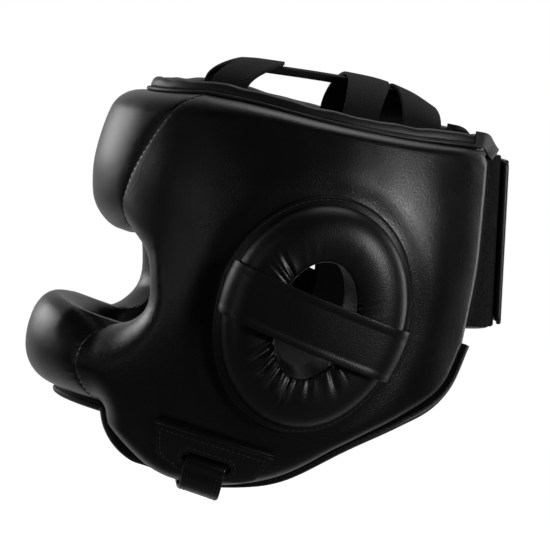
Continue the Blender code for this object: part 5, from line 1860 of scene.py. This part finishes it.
@dataclass
class ChinClosure:
    """Slotted patches on the cheeks, the tab from the left and the strap from the right."""

    bench: Bench
    patch_thickness: float = 0.002
    slot_centre: Pair = (-0.041, -0.0915)
    slot_length: float = 0.027
    slot_height: float = 0.006
    strap_width: float = 0.0230
    strap_thickness: float = 0.002
    tape: float = 0.0008
    half_width: float = 0.033
    up: float = 0.0165
    down: float = 0.0095
    waist: float = 0.0285
    lip: Pair = (0.0018, 0.0018)
    lip_rows: tuple[float, ...] = (0.0040, 0.0060)
    row_inset: float = 0.003
    edge_inset: float = 0.0022
    side_row_angles: Pair = (18.0, -198.0)
    strap_rows: tuple[float, ...] = (0.0016, 0.0036)
    tilt: float = math.radians(-7.0)
    turn: float = 0.001
    level: float = -0.1130
    under_tilt: float = math.radians(-10.0)
    inside: Stations = ((-0.0030, -0.0010), (-0.0030, 0.0016))
    lip_turn: Pair = (-0.0016, 0.0002)
    bends: Stations = ((0.0012, 0.0055), (0.0070, 0.0118), (0.0210, 0.0147))
    bend_start: float = -0.0010
    rise: Pair = (0.052, 0.030)
    tape_margin: float = 0.0035
    strap_end: float = 0.038
    tab_end: float = 0.006

    def slot_radius(self, direction: Array, margin: float = 0.0) -> Array:
        """Radius of the slot, with its round ends and a margin, in a direction from its centre."""
        half = self.slot_height / 2 + margin
        straight = (self.slot_length - self.slot_height) / 2
        cosine = np.abs(np.cos(direction))
        sine = np.abs(np.sin(direction))
        flat = half / np.maximum(sine, 1e-9)
        end = straight * cosine + np.sqrt(np.maximum(half ** 2 - (straight * sine) ** 2, 0.0))
        return np.where(straight * sine > half * cosine, flat, end)

    def patch_radius(self, direction: Array) -> Array:
        """Radius of the patch: a straight top, sides that draw in and a rounded lower side."""
        cosine = np.abs(np.cos(direction))
        sine = np.sin(direction)
        lower = 1 / np.hypot(cosine / self.waist, sine / self.down)
        slant = (self.half_width - self.waist) / self.up
        sides = self.waist / np.maximum(cosine - np.maximum(sine, 0.0) * slant, 1e-6)
        return np.where(sine <= 0, lower, np.minimum(self.up / np.maximum(sine, 1e-6), sides))

    def place(self, direction: Array, radius: Array) -> Places:
        """Place in side view at a direction and radius from the slot's centre."""
        turned = direction + self.tilt
        y, z = self.slot_centre
        return y + radius * np.cos(turned), z + radius * np.sin(turned)

    def row(self, name: str, direction: Array, radius: Array, height: float, side: Side) -> None:
        """Row of stitches on the patch, at directions and radii from the slot's centre."""
        y, z = self.place(direction, radius)
        line = side.facing(FORM.over_cover(y, z, height))
        normals = side.facing(FORM.side_outward(y, z))
        self.bench.sew(name, line, normals, Body.HEADGEAR, pitch=0.0030, length=0.0022)

    def straight(self, drop: float, inset: float, steps: int) -> Places:
        """Directions and radii along a line at a drop below the patch's top edge."""
        across = np.linspace(self.half_width - inset, inset - self.half_width, steps)
        up = np.full_like(across, self.up - drop)
        return np.arctan2(up, across), np.hypot(across, up)

    def folded_lip(self, side: Side, height: float) -> None:
        """Thick folded rim along the top edge of the patch."""
        y, z = self.place(*self.straight(self.lip[0], 0.0, 70))
        middle = FORM.over_cover(y, z, height)
        out = FORM.side_outward(y, z)
        up = np.cross(unit(np.gradient(middle, axis=0)), out)
        tube = round_sections(middle, up * self.lip[0], out * self.lip[1], 16)
        piece = self.bench.sweep(f"chin_lip_{side.label}", side.facing(tube))
        self.bench.finish(piece, self.bench.finishes.leather, Body.HEADGEAR, angle=70.0)

    def patch(self, side: Side) -> None:
        """Slotted patch with its rows of stitches and its folded upper rim."""
        label = side.label
        direction = np.linspace(0, FULL_TURN, 241)[None, :]
        share = np.linspace(0, 1, 15)[:, None]
        inner = self.slot_radius(direction)
        y, z = self.place(direction, inner + (self.patch_radius(direction) - inner) * share)
        height = FORM.laid_on_gap + self.patch_thickness
        piece = self.bench.lay(f"chin_leaf_{label}", side.facing(FORM.over_cover(y, z, height)))
        self.bench.close(piece)
        self.bench.face(piece, (side.value, 0.0, 0.0))
        self.bench.thicken(piece, self.patch_thickness, 0.0005)
        self.bench.finish(piece, self.bench.finishes.leather, Body.HEADGEAR, f"chin_patch_{label}")
        self.folded_lip(side, height)
        for number, drop in enumerate(self.lip_rows, 1):
            line = self.straight(drop, self.row_inset, 90)
            self.row(f"chin_top_stitches_{number}_{label}", *line, height, side)
        below = np.radians(np.linspace(*self.side_row_angles, 200))
        radius = self.patch_radius(below) - self.edge_inset
        self.row(f"chin_side_stitches_{label}", below, radius, height, side)
        about = np.linspace(0, FULL_TURN, 160)
        radius = self.slot_radius(about, self.edge_inset)
        self.row(f"chin_slot_stitches_{label}", about, radius, height, side)

    def over_lip(self, across: Array, drop: Array, height: Array) -> Array:
        """Points over the patch, measured from the middle of the slot's lower lip."""
        level_across = math.cos(self.tilt)
        fall = drop + self.slot_height / 2
        y = self.slot_centre[0] + across * level_across + fall * math.sin(self.tilt)
        z = self.slot_centre[1] + across * math.sin(self.tilt) - fall * level_across
        return FORM.over_cover(y, z, height)

    @property
    def strap_height(self) -> float:
        """Height of the strap's middle over the cheek, where it lies on the patch."""
        return FORM.laid_on_gap + self.patch_thickness + FORM.gap + self.strap_thickness / 2

    @property
    def under_across(self) -> Array:
        """Direction across the straps where they lie under the chin."""
        return np.array((0, math.cos(self.under_tilt), math.sin(self.under_tilt)))

    def axis(self) -> Places:
        """Place and direction of the left tab's turning line, below the slot's lower lip."""
        drop = self.turn + FORM.gap + self.strap_thickness / 2
        across = np.array((0.0, -self.strap_width / 2, self.strap_width / 2))
        middle, front, rear = self.over_lip(across, drop, self.strap_height)
        return middle, unit(rear - front)

    def strap_path(self, lift: float, end: float) -> Places:
        """Middle line and cross directions of a strap on the left, from inside the slot to its end."""
        start, along = self.axis()
        drop, sink = self.lip_turn
        inside = [self.over_lip(np.array(0.0), *place)
                  for place in (*self.inside, (drop, self.strap_height - sink))]
        bends = [start + np.array((-inward, 0, -down)) for inward, down in self.bends]
        level = [np.array((x, start[1], self.level + up))
                 for x, up in zip((*self.rise, end), (0.0, lift, lift))]
        course = [tuple(point) for point in (*inside, start, *bends, *level)]
        path = evenly(curve_through(course, 240), 0.0011)
        lengths = arc_lengths(path)
        share = ease(2 * lengths / lengths[-1])[:, None]
        return path, along * (1 - share) + self.under_across * share

    def strap(self, name: str, lift: float, end: float, side: Side, body: Body, *nodes: str) -> None:
        """Leather strap that comes out of the slot, turns over its lip and passes under the chin."""
        path, turns = self.strap_path(lift, end)
        run = unit(np.gradient(path, axis=0))
        across = unit(turns - run * np.sum(turns * run, axis=1, keepdims=True))
        out = np.cross(across, run)
        out *= np.sign(out[len(out) // 4, 0])
        corner = self.strap_thickness * 0.45
        half = self.strap_width / 2
        thick = self.strap_thickness / 2
        quarter = [(half - corner + corner * math.cos(turn), thick - corner + corner * math.sin(turn))
                   for turn in np.linspace(0, math.pi / 2, 5)]
        upper = quarter + [(-a, b) for a, b in reversed(quarter)]
        outline = np.array(upper + [(-a, -b) for a, b in upper])
        sections = path[:, None] + across[:, None] * outline[:, :1] + out[:, None] * outline[:, 1:]
        piece = self.bench.sweep(name, side.facing(sections))
        self.bench.finish(piece, self.bench.finishes.leather, None, *nodes, angle=60.0)
        start, _ = self.axis()
        turning = side.facing(start)
        before = side.facing(self.over_lip(np.array(0.0), np.array(self.bend_start), self.strap_height))
        after = turning + (turning - before)
        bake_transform(piece)
        first = int(np.argmin(np.linalg.norm(path - start, axis=1))) + 1
        for label, place in (("front", -1), ("rear", 1)):
            for number, inset in enumerate(self.strap_rows, 1):
                line = path + across * place * (half - inset) + out * thick
                self.bench.sew(f"{name}_stitches_{label}_{number}", side.facing(line[first:]),
                               side.facing(out[first:]), body, pitch=0.0028, length=0.0020, width=0.0005)

    def tape_piece(self, name: str, offset: float, look: Look, body: Body, node: str) -> None:
        """Tape at an offset above the middle of the tab, where the strap lies on it."""
        start, _ = self.axis()
        ends = (self.tab_end + self.tape_margin, self.strap_end - self.tape_margin)
        x = np.linspace(*ends, 24)[None, :, None]
        half = self.strap_width / 2 - self.tape_margin
        along = self.under_across
        up = np.array((0, -along[2], along[1]))
        middle = np.array((0, start[1], self.level)) + up * (offset + self.tape)
        side = np.linspace(-half, half, 14)[:, None, None]
        piece = self.bench.lay(name, middle + x * np.array((1.0, 0, 0)) + side * along)
        self.bench.face(piece, tuple(UP))
        self.bench.thicken(piece, self.tape, 0.0002)
        self.bench.finish(piece, look, body, node)

    def build(self) -> None:
        """Builds the patches, the tab, the strap and the tapes between them."""
        for side in Side:
            self.patch(side)
        looks = self.bench.finishes
        loop_offset = self.strap_thickness / 2 + FORM.gap
        hook_offset = loop_offset + self.tape + FORM.gap
        lift = (hook_offset + self.tape + FORM.gap + self.strap_thickness / 2) / math.cos(self.under_tilt)
        self.strap("chin_tab_leather", 0.0, self.tab_end, Side.LEFT, Body.CHIN_TAB, "chin_anchor_left",
                   "chin_tab")
        self.strap("chin_strap_leather", lift, -self.strap_end, Side.RIGHT, Body.CHIN_STRAP,
                   "chin_anchor_right", "chin_strap")
        self.tape_piece("chin_loop_pile", loop_offset, looks.loops, Body.CHIN_TAB, "chin_tab_loop_tape")
        self.tape_piece("chin_hook_pile", hook_offset, looks.hooks, Body.CHIN_STRAP, "chin_strap_hook_tape")


@dataclass
class Studio:
    """Pale floor, soft lights and the camera."""

    target: Triple = (0.0, -0.0145, 0.0086)
    towards: Triple = (0.9908, -0.103, 0.0875)
    right: Triple = (0.0857, 0.9796, 0.1819)
    distance: float = 1.4
    lens: float = 158.0
    floor_radius: float = 0.7
    floor_gap: float = 0.080
    surround: tuple[float, ...] = (-0.65, -0.10, 0.42, 0.018)
    from_below: tuple[float, ...] = (-0.25, -0.80, 0.0, 0.075)
    lights: tuple[tuple[str, Triple, Pair, float], ...] = (
        ("right_softbox", (1.24, 0.98, 0.44), (0.26, 0.42), 10.0),
        ("left_softbox", (1.0, -1.35, 0.10), (0.25, 0.9), 0.8),
        ("front_softbox", (-0.95, -1.43, 0.27), (1.15, 0.6), 8.2),
        ("top_softbox", (-0.55, 0.1, 1.6), (0.9, 1.2), 5.0),
        ("rear_softbox", (-0.80, 1.55, 0.3), (0.36, 1.3), 4.5),
    )

    def camera(self) -> None:
        """Camera at the photograph's place, with its roll."""
        data = bpy.data.cameras.new("camera")
        data.lens = self.lens
        data.sensor_width = 36.0
        data.clip_start = 0.05
        camera = bpy.data.objects.new("camera", data)
        bpy.context.collection.objects.link(camera)
        back = Vector(self.towards).normalized()
        right = Vector(self.right).normalized()
        up = back.cross(right).normalized()
        turn = Matrix((right, up, back)).transposed().to_4x4()
        camera.matrix_world = Matrix.Translation(Vector(self.target) + back * self.distance) @ turn
        bpy.context.scene.camera = camera

    def light(self, name: str, place: Triple, size: Pair, power: float) -> None:
        """Soft box that faces the headgear."""
        data = bpy.data.lights.new(name, "AREA")
        data.shape = "RECTANGLE"
        data.size, data.size_y = size
        data.energy = power
        lamp = bpy.data.objects.new(name, data)
        lamp.location = place
        lamp.rotation_euler = (Vector(self.target) - Vector(place)).to_track_quat("-Z", "Y").to_euler()
        lamp.visible_camera = False
        bpy.context.collection.objects.link(lamp)

    def backdrop(self) -> None:
        """White surroundings behind the headgear, dim on the side of the camera."""
        world = bpy.data.worlds.new("studio")
        bpy.context.scene.world = world
        graph = Graph(world, "Background")
        graph.shader.inputs["Color"].default_value = (1.0, 1.0, 1.0, 1.0)
        x, _, z = graph.parts(graph.value("ShaderNodeTexCoord", "Generated"))
        glow = x.rise(*self.surround) + z.rise(*self.from_below)
        seen = graph.value("ShaderNodeLightPath", "Is Camera Ray")
        graph.join("Strength", graph.value("ShaderNodeMix", 0, {}, {0: seen, 2: glow, 3: 1.0}))

    def floor(self, lowest: float) -> None:
        """Round pale floor, low enough for the open chin tab to hang free."""
        bpy.ops.object.select_all(action="DESELECT")
        bpy.ops.mesh.primitive_circle_add(vertices=96, radius=self.floor_radius, fill_type="NGON")
        floor = bpy.context.object
        floor.name = "floor"
        bpy.ops.object.mode_set(mode="EDIT")
        bpy.ops.mesh.select_all(action="SELECT")
        bpy.ops.mesh.inset(thickness=self.floor_radius * 0.4)
        bpy.ops.mesh.select_all(action="SELECT")
        bpy.ops.transform.translate(value=(0, 0, lowest - self.floor_gap))
        bpy.ops.object.mode_set(mode="OBJECT")
        floor.visible_glossy = False
        floor.visible_diffuse = False
        floor.data.materials.append(PaleFloor().material())
        floor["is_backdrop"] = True

    def build(self, lowest: float) -> None:
        """Builds the camera, the lights, the surroundings and the floor."""
        self.camera()
        for light in self.lights:
            self.light(*light)
        self.backdrop()
        self.floor(lowest)
        bpy.context.scene.view_settings.view_transform = "Standard"


def plain_box(bounds: tuple) -> list[list[float]]:
    """Corners of a box as plain lists of numbers."""
    return [[float(number) for number in corner] for corner in bounds]


def main() -> None:
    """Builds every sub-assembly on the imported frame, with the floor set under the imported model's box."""
    logging.basicConfig(level=logging.INFO, format="%(name)s: %(message)s")
    packed = plain_box(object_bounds())
    bench = Bench(Finishes())
    Studio().build(packed[0][2])
    PaddedShell(bench).build()
    EarRings(bench).build()
    Bindings(bench).build()
    CrownStraps(bench).build()
    RearClosure(bench).build()
    ChinClosure(bench).build()
    log.info("%d pieces", len(bench.pieces))


if __name__ == "__main__":
    main()
